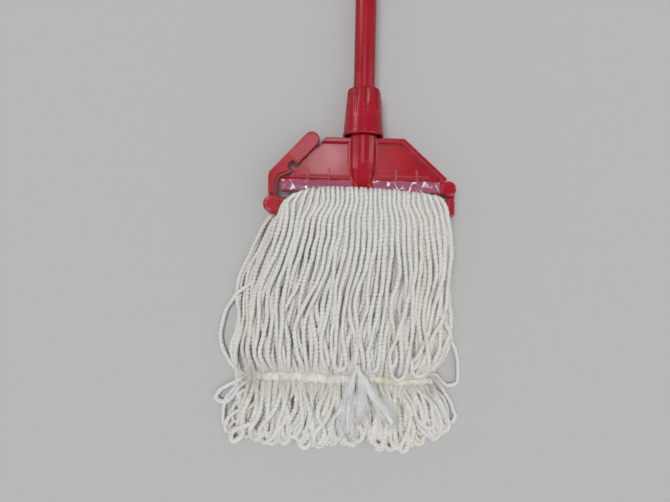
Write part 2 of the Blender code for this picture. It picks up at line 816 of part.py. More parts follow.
def spread_x(spread, u, s):
    """Sideways place of the strand at share u of the width, s of the way to the tail band."""
    def level(values):
        a, b, c, d = values
        if s <= 1:
            return a + (4 * b - 3 * a - c) * s + (2 * a - 4 * b + 2 * c) * s * s
        return c + (d - c) * (s - 1) * abs(tail_y) / fringe_length
    sway = 3.5 * math.sin(2 * math.pi * min(s, 1.0))
    return (level(spread["centre"]) + sway + (2 * u - 1) * level(spread["half"])) * mm


def strand(side, layer, u, reach):
    """Points and radii down one leg: out of the band, round the bar and down to the loop.

    layer 0 lies next to the bar and layer 1 outside it; side is 1 in front and -1 behind.
    """
    spread = front_spread if side > 0 else back_spread
    jaw = (bar_high + lip_low) / 2
    front = bar_depth / 2
    step = 2.4 * yarn_radius
    if layer:
        root = [
            (jaw + 1.5 * mm, front - 2.0 * mm, 0.45),
            (jaw + 2.3 * mm, front + 1.6 * mm, 0.6),
            (jaw + 4.6 * mm, front + 4.7 * mm, 0.85),
            (jaw + 4.0 * mm, front + 9.2 * mm, 1.0),
            (jaw - 4.2 * mm, front + 11.4 * mm, 1.0),
        ]
        tail_z = 3.5 * layer_pitch + 0.9 * mm if side > 0 else yarn_radius + tail_band_thickness + seat_gap
    else:
        root = [
            (jaw - 1.5 * mm, front - 2.0 * mm, 0.45),
            (jaw - 1.7 * mm, front + 2.6 * mm, 0.75),
            (jaw - 8.0 * mm, front + step, 1.0),
        ]
        tail_z = 2.5 * layer_pitch + 0.9 * mm if side > 0 else 1.5 * layer_pitch + 0.9 * mm
    points = [(y, mid_z + side * z, r) for y, z, r in root]
    last_y, last_z, _ = points[-1]
    stops = (0.18, 0.45, 1.0) if layer else (0.35, 1.0)
    rest_z = tail_z if side > 0 or not layer else yarn_radius - 0.12 * mm
    for share in stops:
        y = last_y + (tail_y - last_y) * share
        fall = math.exp(-((last_y - y) / (62 * mm)) ** 1.5)
        goal = tail_z if share == 1.0 else rest_z
        points.append((y, goal + (last_z - goal) * fall, 1.0))
    points.append((tail_y - reach, rest_z, 1.0))
    path = []
    for y, z, r in points:
        s = max(0.0, (last_y - y) / (last_y - tail_y))
        path.append((Vector((spread_x(spread, u, s), y, z)), r))
    return path


def tubes(name, paths, radius):
    """Four-sided tubes along the paths, as one mesh of separate closed bodies."""
    curve = bpy.data.curves.new(name, "CURVE")
    curve.dimensions = "3D"
    curve.bevel_depth = radius
    curve.bevel_resolution = 0
    curve.use_fill_caps = True
    for path in paths:
        spline = curve.splines.new("POLY")
        spline.points.add(len(path) - 1)
        for point, (where, r) in zip(spline.points, path):
            point.co = (*where, 1.0)
            point.radius = r
    source = place(name + "_curve", curve, True)
    bpy.context.view_layer.update()
    graph = bpy.context.evaluated_depsgraph_get()
    mesh = bpy.data.meshes.new_from_object(source.evaluated_get(graph))
    mesh.name = name
    bpy.data.objects.remove(source)
    bm = bmesh.new()
    bm.from_mesh(mesh)
    bmesh.ops.remove_doubles(bm, verts=bm.verts[:], dist=1e-6)
    bmesh.ops.recalc_face_normals(bm, faces=bm.faces[:])
    bm.to_mesh(mesh)
    bm.free()
    return place(name, mesh, True)


def yarn_bunch(side, index):
    """Loops of yarn fused to their slice of the band: each loop is two neighbouring legs and the turn between."""
    name = f"{'front' if side > 0 else 'back'}_yarn_{index + 1}"
    width = (band_right - band_left) / bunch_count
    left = band_left + index * width
    y_range = (bar_high + seat_gap, lip_low - seat_gap)
    low = band_core_depth / 2 + seat_gap
    z_range = sorted((mid_z + side * low, mid_z + side * (low + slice_depth)))
    x_range = (left + seat_gap / 2, left + width - seat_gap / 2)
    bunch = block(name, x_range, y_range, z_range, helper=False)
    loops = []
    for layer, columns in enumerate((inner_columns, outer_columns)):
        total = bunch_count * columns
        for pair in range(columns // 2):
            column = index * columns + 2 * pair
            vary = 0.88 + 0.12 * math.sin(2.4 * column + 1.3 * layer + side)
            reach = fringe_length * vary
            down = strand(side, layer, (column + 0.5) / total, reach)
            up = strand(side, layer, (column + 1.5) / total, reach)
            a, b = down[-1][0], up[-1][0]
            middle = (a + b) / 2
            half = (b.x - a.x) / 2
            turn = [math.pi * i / 4 for i in (1, 2, 3)]
            bend = [
                (middle + Vector((-half * math.cos(t), -half * math.sin(t), 0)), 1.0) for t in turn
            ]
            loops.append(down + bend + up[::-1])
    add(bunch, tubes(name + "_loops", loops, yarn_radius))
    if side < 0:
        wide = 400 * mm
        cut(bunch, block(name + "_floor", (-wide, wide), (-wide, wide), (-50 * mm, 0)))
    paint(bunch, cream, 0.95)
    set_origin(bunch, (gate_pivot.x, gate_pivot.y, mid_z))
    return bunch


def tail_band_ends(spread):
    margin = 1.5 * yarn_radius
    return spread_x(spread, 0.0, 1.0) - margin, spread_x(spread, 1.0, 1.0) + margin


def tail_band_y(t):
    """Middle line of a sewn band, which sags between its ends, at share t of its width."""
    return tail_y + 2 * mm - tail_band_sag * math.sin(math.pi * t) * (0.4 + 0.6 * t)


def tail_band(name, spread, low):
    """A sewn band across the tail."""
    left, right = tail_band_ends(spread)
    shares = [i / 12 for i in range(13)]
    half = tail_band_width / 2

    def edge(t, offset):
        return (left + (right - left) * t, tail_band_y(t) + offset)
    outline = [edge(t, -half) for t in shares] + [edge(t, half) for t in reversed(shares)]
    band = prism(name, outline, low, low + tail_band_thickness, helper=False)
    paint(band, cream, 0.9)
    set_origin(band, (gate_pivot.x, gate_pivot.y, mid_z))
    return band


def tie_tuft(low):
    """White filaments that hang from a knot over the front band."""
    knot_x = spread_x(front_spread, 0.57, 1.0)
    knot_y = tail_y + 11 * mm
    half = 3.6 * mm
    level = low + tuft_radius + 0.2 * mm
    knot = block(
        "tie_tuft",
        (knot_x - half, knot_x + half),
        (knot_y - half, knot_y + half),
        (low, low + 5.2 * mm),
        helper=False,
    )
    paths = []
    for i in range(tuft_strands):
        share = i / (tuft_strands - 1) * 2 - 1
        path = []
        for t in (0.0, 0.3, 0.65, 1.0):
            x = knot_x + share * (2.2 * mm * (1 - t) + tuft_spread / 2 * t ** 0.8)
            y = knot_y - 1.0 * mm - tuft_length * t * (1 - 0.18 * abs(share))
            thick = 0.5 if t == 0 else 1.0
            path.append((Vector((x, y, level)), thick))
        paths.append(path)
    for i, path in enumerate(paths):
        add(knot, tubes(f"tuft_strand_{i}", [path], tuft_radius))
    paint(knot, white, 0.95)
    set_origin(knot, (gate_pivot.x, gate_pivot.y, mid_z))
    return knot


clamp_body()
pin("hinge_pin", gate_pivot)
gate_bar()
pin("lever_pin", lever_pivot)
release_lever()
lock_nut()
thrust_ring()
handle_tube()
hanger_cap()
jaw_film()
head_band()
for bunch_index in range(bunch_count):
    yarn_bunch(1, bunch_index)
    yarn_bunch(-1, bunch_index)
tail_top = 3.5 * layer_pitch + 0.9 * mm + yarn_radius + seat_gap
tail_band("tail_band_front", front_spread, tail_top)
tail_band("tail_band_back", back_spread, 0.0)
tie_tuft(tail_top + tail_band_thickness + seat_gap)


def joint(name, point):
    empty = bpy.data.objects.new(name, None)
    empty.location = point
    empty.empty_display_size = 0.02
    parts.objects.link(empty)


joint("joint_gate_swing", (gate_pivot.x, gate_pivot.y, mid_z))
joint("joint_lever_release", (lever_pivot.x, lever_pivot.y, mid_z))
joint("joint_nut_turn", (0, nut_low, mid_z))
joint("joint_ring_slide", (0, ring_low, mid_z))
joint("joint_handle_pull", (0, handle_low, mid_z))

# The origin moves to the sewn band at the back, below the handle's axis
left_end, right_end = tail_band_ends(back_spread)
rest_y = tail_band_y(left_end / (left_end - right_end))
for obj in bpy.data.objects:
    obj.location.y -= rest_y
print(f"from the origin to the middle of the gate bar: {-rest_y / mm:.2f} mm")
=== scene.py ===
import math

import bpy
import numpy as np
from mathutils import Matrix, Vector


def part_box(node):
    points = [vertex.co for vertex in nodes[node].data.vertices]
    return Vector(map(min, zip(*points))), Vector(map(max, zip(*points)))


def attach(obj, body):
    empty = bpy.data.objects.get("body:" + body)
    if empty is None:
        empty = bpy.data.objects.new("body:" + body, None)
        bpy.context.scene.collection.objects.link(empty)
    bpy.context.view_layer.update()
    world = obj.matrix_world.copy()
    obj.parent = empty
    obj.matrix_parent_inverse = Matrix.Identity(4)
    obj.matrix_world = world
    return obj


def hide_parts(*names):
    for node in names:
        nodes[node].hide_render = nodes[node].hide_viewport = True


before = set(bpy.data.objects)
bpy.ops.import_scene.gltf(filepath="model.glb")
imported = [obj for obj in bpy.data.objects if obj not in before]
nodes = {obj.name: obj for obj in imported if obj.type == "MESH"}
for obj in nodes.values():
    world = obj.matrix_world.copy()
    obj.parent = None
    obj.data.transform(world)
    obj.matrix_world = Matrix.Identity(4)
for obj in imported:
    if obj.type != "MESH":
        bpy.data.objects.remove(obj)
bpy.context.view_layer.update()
fullTurn = 2 * math.pi

# Places taken from the frame, in metres
bandLow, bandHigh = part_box("head_band")
jawY = (bandLow.y + bandHigh.y) / 2
midZ = (bandLow.z + bandHigh.z) / 2
tailLow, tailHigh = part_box("tail_band_front")
tailY = (tailLow.y + tailHigh.y) / 2
print("frame loaded:", len(nodes), "nodes, jaw at y", round(jawY, 4))


# Picture, light and floor

picture = {
    "place": (-0.0271, 0.1379, 0.537),        # straight above the yarn, looking down
    "turn": 1.2,                              # degrees about the line of sight
    "lens": 26.33,
    "sensor": 36,
    "nearest": 0.01,
    # broad lights: degrees off the vertical towards +X and +Y, degrees across, level
    "windowLight": (-10.0, 6.0, 26.0, 1.64),
    "roomLight": (38.0, -25.0, 60.0, 0.36),
    # lamps that show only in the gloss: place, size and power; the first lies over the left half of the clamp
    "lamps": [
        ((-0.040, 0.515, 1.50), (0.13, 0.12), 1.75),
        ((-1.30, 0.40, 0.50), (0.14, 1.20), 4.0),
        ((1.30, 0.50, 0.60), (0.12, 1.00), 2.7),
        ((0.10, 1.25, 1.35), (0.40, 0.10), 1.6),
        ((-0.75, 0.90, 0.60), (0.40, 0.40), 4.5),
        ((0.60, -0.35, 0.60), (0.40, 0.40), 4.0),
        ((-0.65, -0.40, 0.60), (0.40, 0.40), 4.5),
    ],
    "lampAim": (0.0, 0.25, 0.0),
    "lampColour": (0.88, 0.94, 1.0),
    "sky": (0.385, 0.395, 0.410),
    "backdrop": (0.485, 0.485, 0.482),
    "mirrored": (0.27, 0.27, 0.28),
    "floor": (0.490, 0.487, 0.480),
    "floorHalf": 40.0,
    "floorDrop": 0.0003,
}


def addLamp(name, kind, direction, level):
    lamp = bpy.data.lights.new(name, kind)
    lamp.energy = level
    obj = bpy.data.objects.new(name, lamp)
    obj.rotation_euler = Vector(direction).to_track_quat("-Z", "Y").to_euler()
    bpy.context.scene.collection.objects.link(obj)
    return obj, lamp


def makeSky():
    # the light of the sky for the surfaces, a plain backdrop past the floor, and a dimmer room for the reflections
    world = bpy.data.worlds.new("sky")
    world.use_nodes = True
    tree = world.node_tree
    rays = tree.nodes.new("ShaderNodeLightPath").outputs
    seen = maths(tree, "MAXIMUM", rays["Is Camera Ray"], rays["Is Transmission Ray"])
    colour = mixColours(tree, seen, (*picture["sky"], 1), (*picture["backdrop"], 1))
    colour = mixColours(tree, rays["Is Glossy Ray"], colour, (*picture["mirrored"], 1))
    tree.links.new(colour, tree.nodes["Background"].inputs["Color"])
    bpy.context.scene.world = world


def makePicture():
    scene = bpy.context.scene
    camera = bpy.data.cameras.new("camera")
    camera.lens = picture["lens"]
    camera.sensor_width = picture["sensor"]
    camera.clip_start = picture["nearest"]
    obj = bpy.data.objects.new("camera", camera)
    scene.collection.objects.link(obj)
    obj.location = picture["place"]
    obj.rotation_euler = (0, 0, math.radians(picture["turn"]))
    scene.camera = obj
    scene.view_settings.view_transform = "Standard"
    for name in ("windowLight", "roomLight"):
        x, y, across, level = picture[name]
        down = (-math.tan(math.radians(x)), -math.tan(math.radians(y)), -1.0)
        obj, lamp = addLamp(name, "SUN", down, level)
        lamp.angle = math.radians(across)
        obj.visible_glossy = False
    for i, (place, size, power) in enumerate(picture["lamps"]):
        obj, lamp = addLamp(f"lamp{i + 1}", "AREA", Vector(picture["lampAim"]) - Vector(place), power)
        lamp.shape = "RECTANGLE"
        lamp.color = picture["lampColour"]
        lamp.size, lamp.size_y = size
        obj.location = place
        obj.visible_diffuse = False
    makeSky()
    print("picture: two broad lights and", len(picture["lamps"]), "lamps")


def makeFloor():
    # one level square, a little below the lowest strands
    half = picture["floorHalf"]
    corners = np.array([[-half, -half, 0], [half, -half, 0], [half, half, 0], [-half, half, 0]])
    floor = buildMesh("floor", corners - [0, 0, picture["floorDrop"]], np.array([[0, 1, 2, 3]]))
    material, tree, shader = blankMaterial("paleFloor")
    fill(tree, shader, Base_Color=(*picture["floor"], 1), Roughness=1.0, Specular_IOR_Level=0.0)
    floor.data.materials.append(material)


# Mesh helpers: every new piece is a set of grids, each a function of two parameters

def smoothStep(t):
    # eases from 0 to 1 by three squares less two cubes
    t = np.clip(t, 0, 1)
    return t * t * (3 - 2 * t)


def blur(values, width):
    # moving average with soft edges along a route
    reach = int(3 * width)
    kernel = np.exp(-0.5 * (np.arange(-reach, reach + 1) / width) ** 2)
    padded = np.pad(values, reach, mode="edge")
    return np.convolve(padded, kernel / kernel.sum(), mode="valid")


def softNoise(shape, width, seed):
    # random numbers along each strand, blurred over a few stations and brought back to a spread of one
    noise = np.random.default_rng(seed).normal(0, 1, shape)
    return np.apply_along_axis(blur, 1, noise, width) * math.sqrt(2 * math.sqrt(math.pi) * width)


def gridFaces(rows, columns, wrapRows=False, wrapColumns=False):
    # corner numbers of the quads between neighbouring rows and columns
    r = np.arange(rows if wrapRows else rows - 1)
    c = np.arange(columns if wrapColumns else columns - 1)
    r, c = np.meshgrid(r, c, indexing="ij")
    up = (r + 1) % rows
    right = (c + 1) % columns
    quad = [r * columns + c, r * columns + right, up * columns + right, up * columns + c]
    return np.stack(quad, axis=-1).reshape(-1, 4)


def buildMesh(name, points, quads, caps=(), uv=None, values=None):
    # points, uv and the named values are grids of one shape; caps are arrays of corner numbers
    points = np.asarray(points, np.float32).reshape(-1, 3)
    corners = np.concatenate([quads.reshape(-1), *caps]).astype(np.int32)
    sizes = np.concatenate([np.full(len(quads), 4), [len(cap) for cap in caps]]).astype(np.int32)
    starts = np.concatenate([[0], np.cumsum(sizes)[:-1]]).astype(np.int32)
    mesh = bpy.data.meshes.new(name)
    mesh.vertices.add(len(points))
    mesh.loops.add(len(corners))
    mesh.polygons.add(len(sizes))
    mesh.vertices.foreach_set("co", points.reshape(-1))
    mesh.loops.foreach_set("vertex_index", corners)
    mesh.polygons.foreach_set("loop_start", starts)
    mesh.polygons.foreach_set("use_smooth", np.ones(len(sizes), bool))
    if uv is not None:
        places = np.asarray(uv, np.float32).reshape(-1, 2)
        mesh.uv_layers.new(name="along").data.foreach_set("uv", places[corners].reshape(-1))
    for key, value in (values or {}).items():
        layer = mesh.attributes.new(key, "FLOAT", "POINT")
        layer.data.foreach_set("value", np.asarray(value, np.float32).reshape(-1))
    mesh.update(calc_edges=True)
    mesh.validate()
    obj = bpy.data.objects.new(name, mesh)
    bpy.context.scene.collection.objects.link(obj)
    return obj


def finishPiece(obj, material, body, slot, *replaced):
    obj.data.materials.append(material)
    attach(obj, body)
    if replaced:
        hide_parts(*replaced)


def smoothRoutes(knots, perSpan=10):
    # cubic through the knots (strands, knots, 3); the slope at a knot weighs its two spans by their lengths
    span = np.linalg.norm(np.diff(knots, axis=1), axis=2, keepdims=True) + 1e-9
    pace = np.diff(knots, axis=1) / span
    inner = (pace[:, 1:] * span[:, :-1] + pace[:, :-1] * span[:, 1:]) / (span[:, 1:] + span[:, :-1])
    slope = np.concatenate([pace[:, :1], inner, pace[:, -1:]], axis=1)
    t = np.linspace(0, 1, perSpan, endpoint=False)[None, None, :, None]
    a, b = knots[:, :-1, None], knots[:, 1:, None]
    ma, mb = (slope[:, :-1] * span)[:, :, None], (slope[:, 1:] * span)[:, :, None]
    curve = (2 * t**3 - 3 * t**2 + 1) * a + (t**3 - 2 * t**2 + t) * ma
    curve = curve + (3 * t**2 - 2 * t**3) * b + (t**3 - t**2) * mb
    flat = curve.reshape(len(knots), -1, 3)
    return np.concatenate([flat, knots[:, -1:]], axis=1)


def evenRoute(route, count):
    # count stations, evenly spaced along the route
    reach = np.concatenate([[0], np.cumsum(np.linalg.norm(np.diff(route, axis=0), axis=1))])
    s = np.linspace(0, reach[-1], count)
    return np.stack([np.interp(s, reach, route[:, k]) for k in range(3)], axis=1), s


def runLengths(routes):
    # way along each route at its stations
    return np.linalg.norm(np.diff(routes, axis=1, prepend=routes[:, :1]), axis=2).cumsum(axis=1)


def carriedFrames(routes):
    # a normal carried along each route with no twist, by two reflections at each station
    tangent = np.gradient(routes, axis=1)
    tangent /= np.linalg.norm(tangent, axis=2, keepdims=True) + 1e-12
    start = np.cross(tangent[:, 0], np.array([1.0, 0.0, 0.0]) + 1e-6)
    normal = np.zeros_like(routes)
    normal[:, 0] = start / np.linalg.norm(start, axis=1, keepdims=True)
    for i in range(routes.shape[1] - 1):
        v1 = routes[:, i + 1] - routes[:, i]
        c1 = np.sum(v1 * v1, axis=1, keepdims=True) + 1e-15
        r = normal[:, i] - 2 / c1 * np.sum(v1 * normal[:, i], axis=1, keepdims=True) * v1
        t = tangent[:, i] - 2 / c1 * np.sum(v1 * tangent[:, i], axis=1, keepdims=True) * v1
        v2 = tangent[:, i + 1] - t
        c2 = np.sum(v2 * v2, axis=1, keepdims=True) + 1e-15
        normal[:, i + 1] = r - 2 / c2 * np.sum(v2 * r, axis=1, keepdims=True) * v2
    return normal, np.cross(tangent, normal)


def ringAngles(ring):
    # evenly spaced, from zero
    return np.arange(ring) / ring * fullTurn


fibreRun = 0.003                  # length of plain thread for one unit of its fibres


def plainTubes(routes, radius, ring):
    # a circle carried along each route; radius (strands, stations)
    normal, side = carriedFrames(routes)
    angle = ringAngles(ring)
    ringPoints = np.cos(angle)[:, None] * normal[:, :, None] + np.sin(angle)[:, None] * side[:, :, None]
    points = routes[:, :, None] + radius[:, :, None, None] * ringPoints
    along = runLengths(routes)[..., None] / fibreRun
    uv = np.stack(np.broadcast_arrays(angle[None, None] / fullTurn, along), axis=-1)
    return points, np.zeros(points.shape[:3]), uv


def joinTubes(name, parts):
    # parts: list of (points, groove, uv, tone); every tube is closed by a cap at both ends
    allPoints, allQuads, allCaps, allUv, allGroove, allTone = [], [], [], [], [], []
    base = 0
    for points, groove, uv, tone in parts:
        count, rows, ring = points.shape[:3]
        quads = gridFaces(rows, ring, wrapColumns=True)
        offset = base + np.arange(count) * rows * ring
        allQuads.append((quads[None] + offset[:, None, None]).reshape(-1, 4))
        first = np.arange(ring)[::-1]
        last = (rows - 1) * ring + np.arange(ring)
        allCaps += [cap + o for o in offset for cap in (first, last)]
        allPoints.append(points.reshape(-1, 3))
        allUv.append(uv.reshape(-1, 2))
        allGroove.append(groove.reshape(-1))
        allTone.append(np.broadcast_to(tone[:, None, None], points.shape[:3]).reshape(-1))
        base += count * rows * ring
    values = {"groove": np.concatenate(allGroove), "tone": np.concatenate(allTone)}
    points, quads, uv = np.concatenate(allPoints), np.concatenate(allQuads), np.concatenate(allUv)
    return buildMesh(name, points, quads, allCaps, uv, values)


# Materials: shared effects are node groups, each material keeps its own shader

def nodeGroup(name, inputs, outputs):
    # inputs and outputs: the labels of each kind of socket
    group = bpy.data.node_groups.new(name, "ShaderNodeTree")
    for way, kinds in (("INPUT", inputs), ("OUTPUT", outputs)):
        for kind, labels in kinds.items():
            for label in labels:
                group.interface.new_socket(label, in_out=way, socket_type=f"NodeSocket{kind}")
    return group, group.nodes.new("NodeGroupInput").outputs, group.nodes.new("NodeGroupOutput")


def feed(tree, socket, value):
    # an output is linked, anything else becomes the socket's own value
    if isinstance(value, bpy.types.NodeSocket):
        tree.links.new(value, socket)
    else:
        socket.default_value = value


def fill(tree, node, **inputs):
    # inputs by label, with _ for a space
    for label, value in inputs.items():
        feed(tree, node.inputs[label.replace("_", " ")], value)


def addNode(tree, kind, settings=None, **inputs):
    node = tree.nodes.new(kind)
    for key, value in (settings or {}).items():
        setattr(node, key, value)
    fill(tree, node, **inputs)
    return node


def mixColours(tree, factor, first, second):
    node = addNode(tree, "ShaderNodeMix", {"data_type": "RGBA"})
    for number, value in ((0, factor), (6, first), (7, second)):
        feed(tree, node.inputs[number], value)
    return node.outputs[2]


def maths(tree, operation, *values):
    node = addNode(tree, "ShaderNodeMath", {"operation": operation})
    for socket, value in zip(node.inputs, values):
        feed(tree, socket, value)
    return node.outputs[0]


def rescale(tree, value, low, high, toLow=0.0, toHigh=1.0):
    ends = {"From_Min": low, "From_Max": high, "To_Min": toLow, "To_Max": toHigh}
    return addNode(tree, "ShaderNodeMapRange", None, Value=value, **ends).outputs[0]


def attribute(tree, name):
    return addNode(tree, "ShaderNodeAttribute", {"attribute_name": name}).outputs["Fac"]


mouldedLook = {
    "blotch": {"Scale": 22.0, "Detail": 3.0},
    "grain": {"Scale": 900.0, "Detail": 2.0},
    "streak": {"Scale": 1.0, "Detail": 4.0},
    "streakStretch": (60.0, 420.0, 60.0),
    "streakTurn": (0.0, 0.0, 0.6),
    # what becomes 0 to 1: the two noises, and the cosine between the plain and the softened normal, which sets the
    # painted highlight and wear along the edges
    "blotchRange": (0.32, 0.68),
    "rubRange": (0.60, 0.74),
    "edgeWearAndSheenRange": (0.988, 0.88),
    # the painted shade in dents: share of the groove value, its colour and how far towards that colour
    "grooveShare": 0.75,
    "paintedShadeColour": (0.05, 0.0, 0.0),
    "paintedShadeDepth": 0.6,
    "uneven": (0.3, 0.7, -0.05, 0.07),    # the blotches' range and what it adds to the roughness
    "rubRoughness": 0.4,
    "grainHeight": 0.5,
    "rubHeight": -0.6,
    "relief": 0.0002,
    "softSamples": 6,
    "coatRoughness": 0.2,
}


def makeMouldedSkin():
    # blotches, a fine grain, rubbed streaks, painted shade where the groove value is high, and lighter edges where
    # the softened normal leaves the plain one: painted highlight and wear
    look = mouldedLook
    group, given, end = nodeGroup(
        "mouldedSkin",
        {"Vector": ("Vector", "Plain", "Soft"), "Color": ("Deep", "Light", "Rubbed"),
         "Float": ("Rub", "Gloss", "Groove", "Wear")},
        {"Color": ("Colour",), "Float": ("Roughness", "Height")})

    def noise(label, place):
        return addNode(group, "ShaderNodeTexNoise", None, Vector=place, **look[label]).outputs[0]

    def times(first, second):
        return maths(group, "MULTIPLY", first, second)

    place = given["Vector"]
    turned = {"Scale": look["streakStretch"], "Rotation": look["streakTurn"]}
    stretch = addNode(group, "ShaderNodeMapping", None, Vector=place, **turned)
    blotch, grain, streak = noise("blotch", place), noise("grain", place), noise("streak", stretch.outputs[0])
    colour = mixColours(group, rescale(group, blotch, *look["blotchRange"]), given["Deep"], given["Light"])
    rubbed = times(rescale(group, streak, *look["rubRange"]), given["Rub"])
    colour = mixColours(group, rubbed, colour, given["Rubbed"])
    # painted shade in dents such as the nut's flutes, darker where the groove value is high
    dark = mixColours(group, look["paintedShadeDepth"], colour, (*look["paintedShadeColour"], 1))
    colour = mixColours(group, times(given["Groove"], look["grooveShare"]), colour, dark)
    # painted highlight and wear along the edges: the rubbed colour where the softened normal leaves the plain one
    turn = addNode(group, "ShaderNodeVectorMath", {"operation": "DOT_PRODUCT"})
    group.links.new(given["Plain"], turn.inputs[0])
    group.links.new(given["Soft"], turn.inputs[1])
    wornAndLit = times(rescale(group, turn.outputs["Value"], *look["edgeWearAndSheenRange"]), given["Wear"])
    colour = mixColours(group, wornAndLit, colour, given["Rubbed"])
    rough = maths(group, "ADD", rescale(group, blotch, *look["uneven"]), given["Gloss"])
    rough = maths(group, "ADD", rough, times(rubbed, look["rubRoughness"]))
    height = maths(group, "ADD", times(grain, look["grainHeight"]), times(rubbed, look["rubHeight"]))
    fill(group, end, Colour=colour, Roughness=rough, Height=height)
    return group


cottonLook = {
    "stretch": (5.0, 1.6, 1.0),
    "detail": 4.0,
    "range": (0.3, 0.7),
    "spread": 0.12,               # how far the fibres differ in colour
    "groovePower": 1.5,
    "grooveShare": 0.50,
    "relief": 0.0004,
    "plain": {"Roughness": 0.92, "Sheen_Weight": 0.5, "Sheen_Roughness": 0.6, "Specular_IOR_Level": 0.15},
}


def makeCottonFibre():
    # fibres that run along the thread, warmer and darker where the groove value is high: on the yarn that is
    # painted shade between the plies and on the underside
    look = cottonLook
    group, given, end = nodeGroup(
        "cottonFibre",
        {"Vector": ("Vector",), "Color": ("Light", "Warm", "Deep"), "Float": ("Groove", "Tone", "Fineness")},
        {"Color": ("Colour",), "Float": ("Height",)})
    fine = addNode(group, "ShaderNodeMapping", None, Vector=given["Vector"], Scale=look["stretch"]).outputs[0]
    grain = {"Scale": given["Fineness"], "Detail": look["detail"]}
    fibre = addNode(group, "ShaderNodeTexNoise", None, Vector=fine, **grain).outputs[0]
    fuzz = rescale(group, fibre, *look["range"])
    colour = mixColours(group, given["Tone"], given["Light"], given["Warm"])
    colour = mixColours(group, maths(group, "MULTIPLY", fuzz, look["spread"]), colour, given["Warm"])
    # painted shade: the deep colour comes in with the groove value
    dark = maths(group, "POWER", given["Groove"], look["groovePower"])
    colour = mixColours(group, maths(group, "MULTIPLY", dark, look["grooveShare"]), colour, given["Deep"])
    fill(group, end, Colour=colour, Height=fuzz)
    return group


mouldedSkin = makeMouldedSkin()
cottonFibre = makeCottonFibre()


def blankMaterial(name):
    material = bpy.data.materials.new(name)
    material.use_nodes = True
    tree = material.node_tree
    return material, tree, tree.nodes["Principled BSDF"]


def mouldedMaterial(name, deep, light, rubbed, rub, gloss, bump, edge, coat=0.0, shine=0.24, edgeWearAndSheen=0.0):
    # edge is the radius to which the shading rounds the corners
    material, tree, shader = blankMaterial(name)
    soft = addNode(tree, "ShaderNodeBevel", {"samples": mouldedLook["softSamples"]}, Radius=edge).outputs[0]
    skin = addNode(
        tree, "ShaderNodeGroup", {"node_tree": mouldedSkin},
        Vector=addNode(tree, "ShaderNodeTexCoord").outputs["Object"], Groove=attribute(tree, "groove"),
        Plain=addNode(tree, "ShaderNodeNewGeometry").outputs["Normal"], Soft=soft,
        Deep=(*deep, 1), Light=(*light, 1), Rubbed=(*rubbed, 1), Rub=rub, Gloss=gloss, Wear=edgeWearAndSheen).outputs
    relief = {"Strength": bump, "Distance": mouldedLook["relief"]}
    bumps = addNode(tree, "ShaderNodeBump", None, Height=skin["Height"], Normal=soft, **relief)
    fill(tree, shader, Base_Color=skin["Colour"], Roughness=skin["Roughness"], Normal=bumps.outputs[0],
         Specular_IOR_Level=shine, Coat_Weight=coat, Coat_Roughness=mouldedLook["coatRoughness"])
    return material


def cottonMaterial(name, light, warm, deep, fineness, bump):
    # the groove value brings in the deep colour: painted shade between the yarn's plies and on its underside,
    # darker edges on the bands, and a darker tone over the whole knot
    material, tree, shader = blankMaterial(name)
    fibre = addNode(
        tree, "ShaderNodeGroup", {"node_tree": cottonFibre},
        Vector=addNode(tree, "ShaderNodeUVMap", {"uv_map": "along"}).outputs[0],
        Groove=attribute(tree, "groove"), Tone=attribute(tree, "tone"),
        Light=(*light, 1), Warm=(*warm, 1), Deep=(*deep, 1), Fineness=fineness).outputs
    relief = {"Strength": bump, "Distance": cottonLook["relief"]}
    bumps = addNode(tree, "ShaderNodeBump", None, Height=fibre["Height"], **relief)
    fill(tree, shader, Base_Color=fibre["Colour"], Normal=bumps.outputs[0], **cottonLook["plain"])
    return material


# Yarn

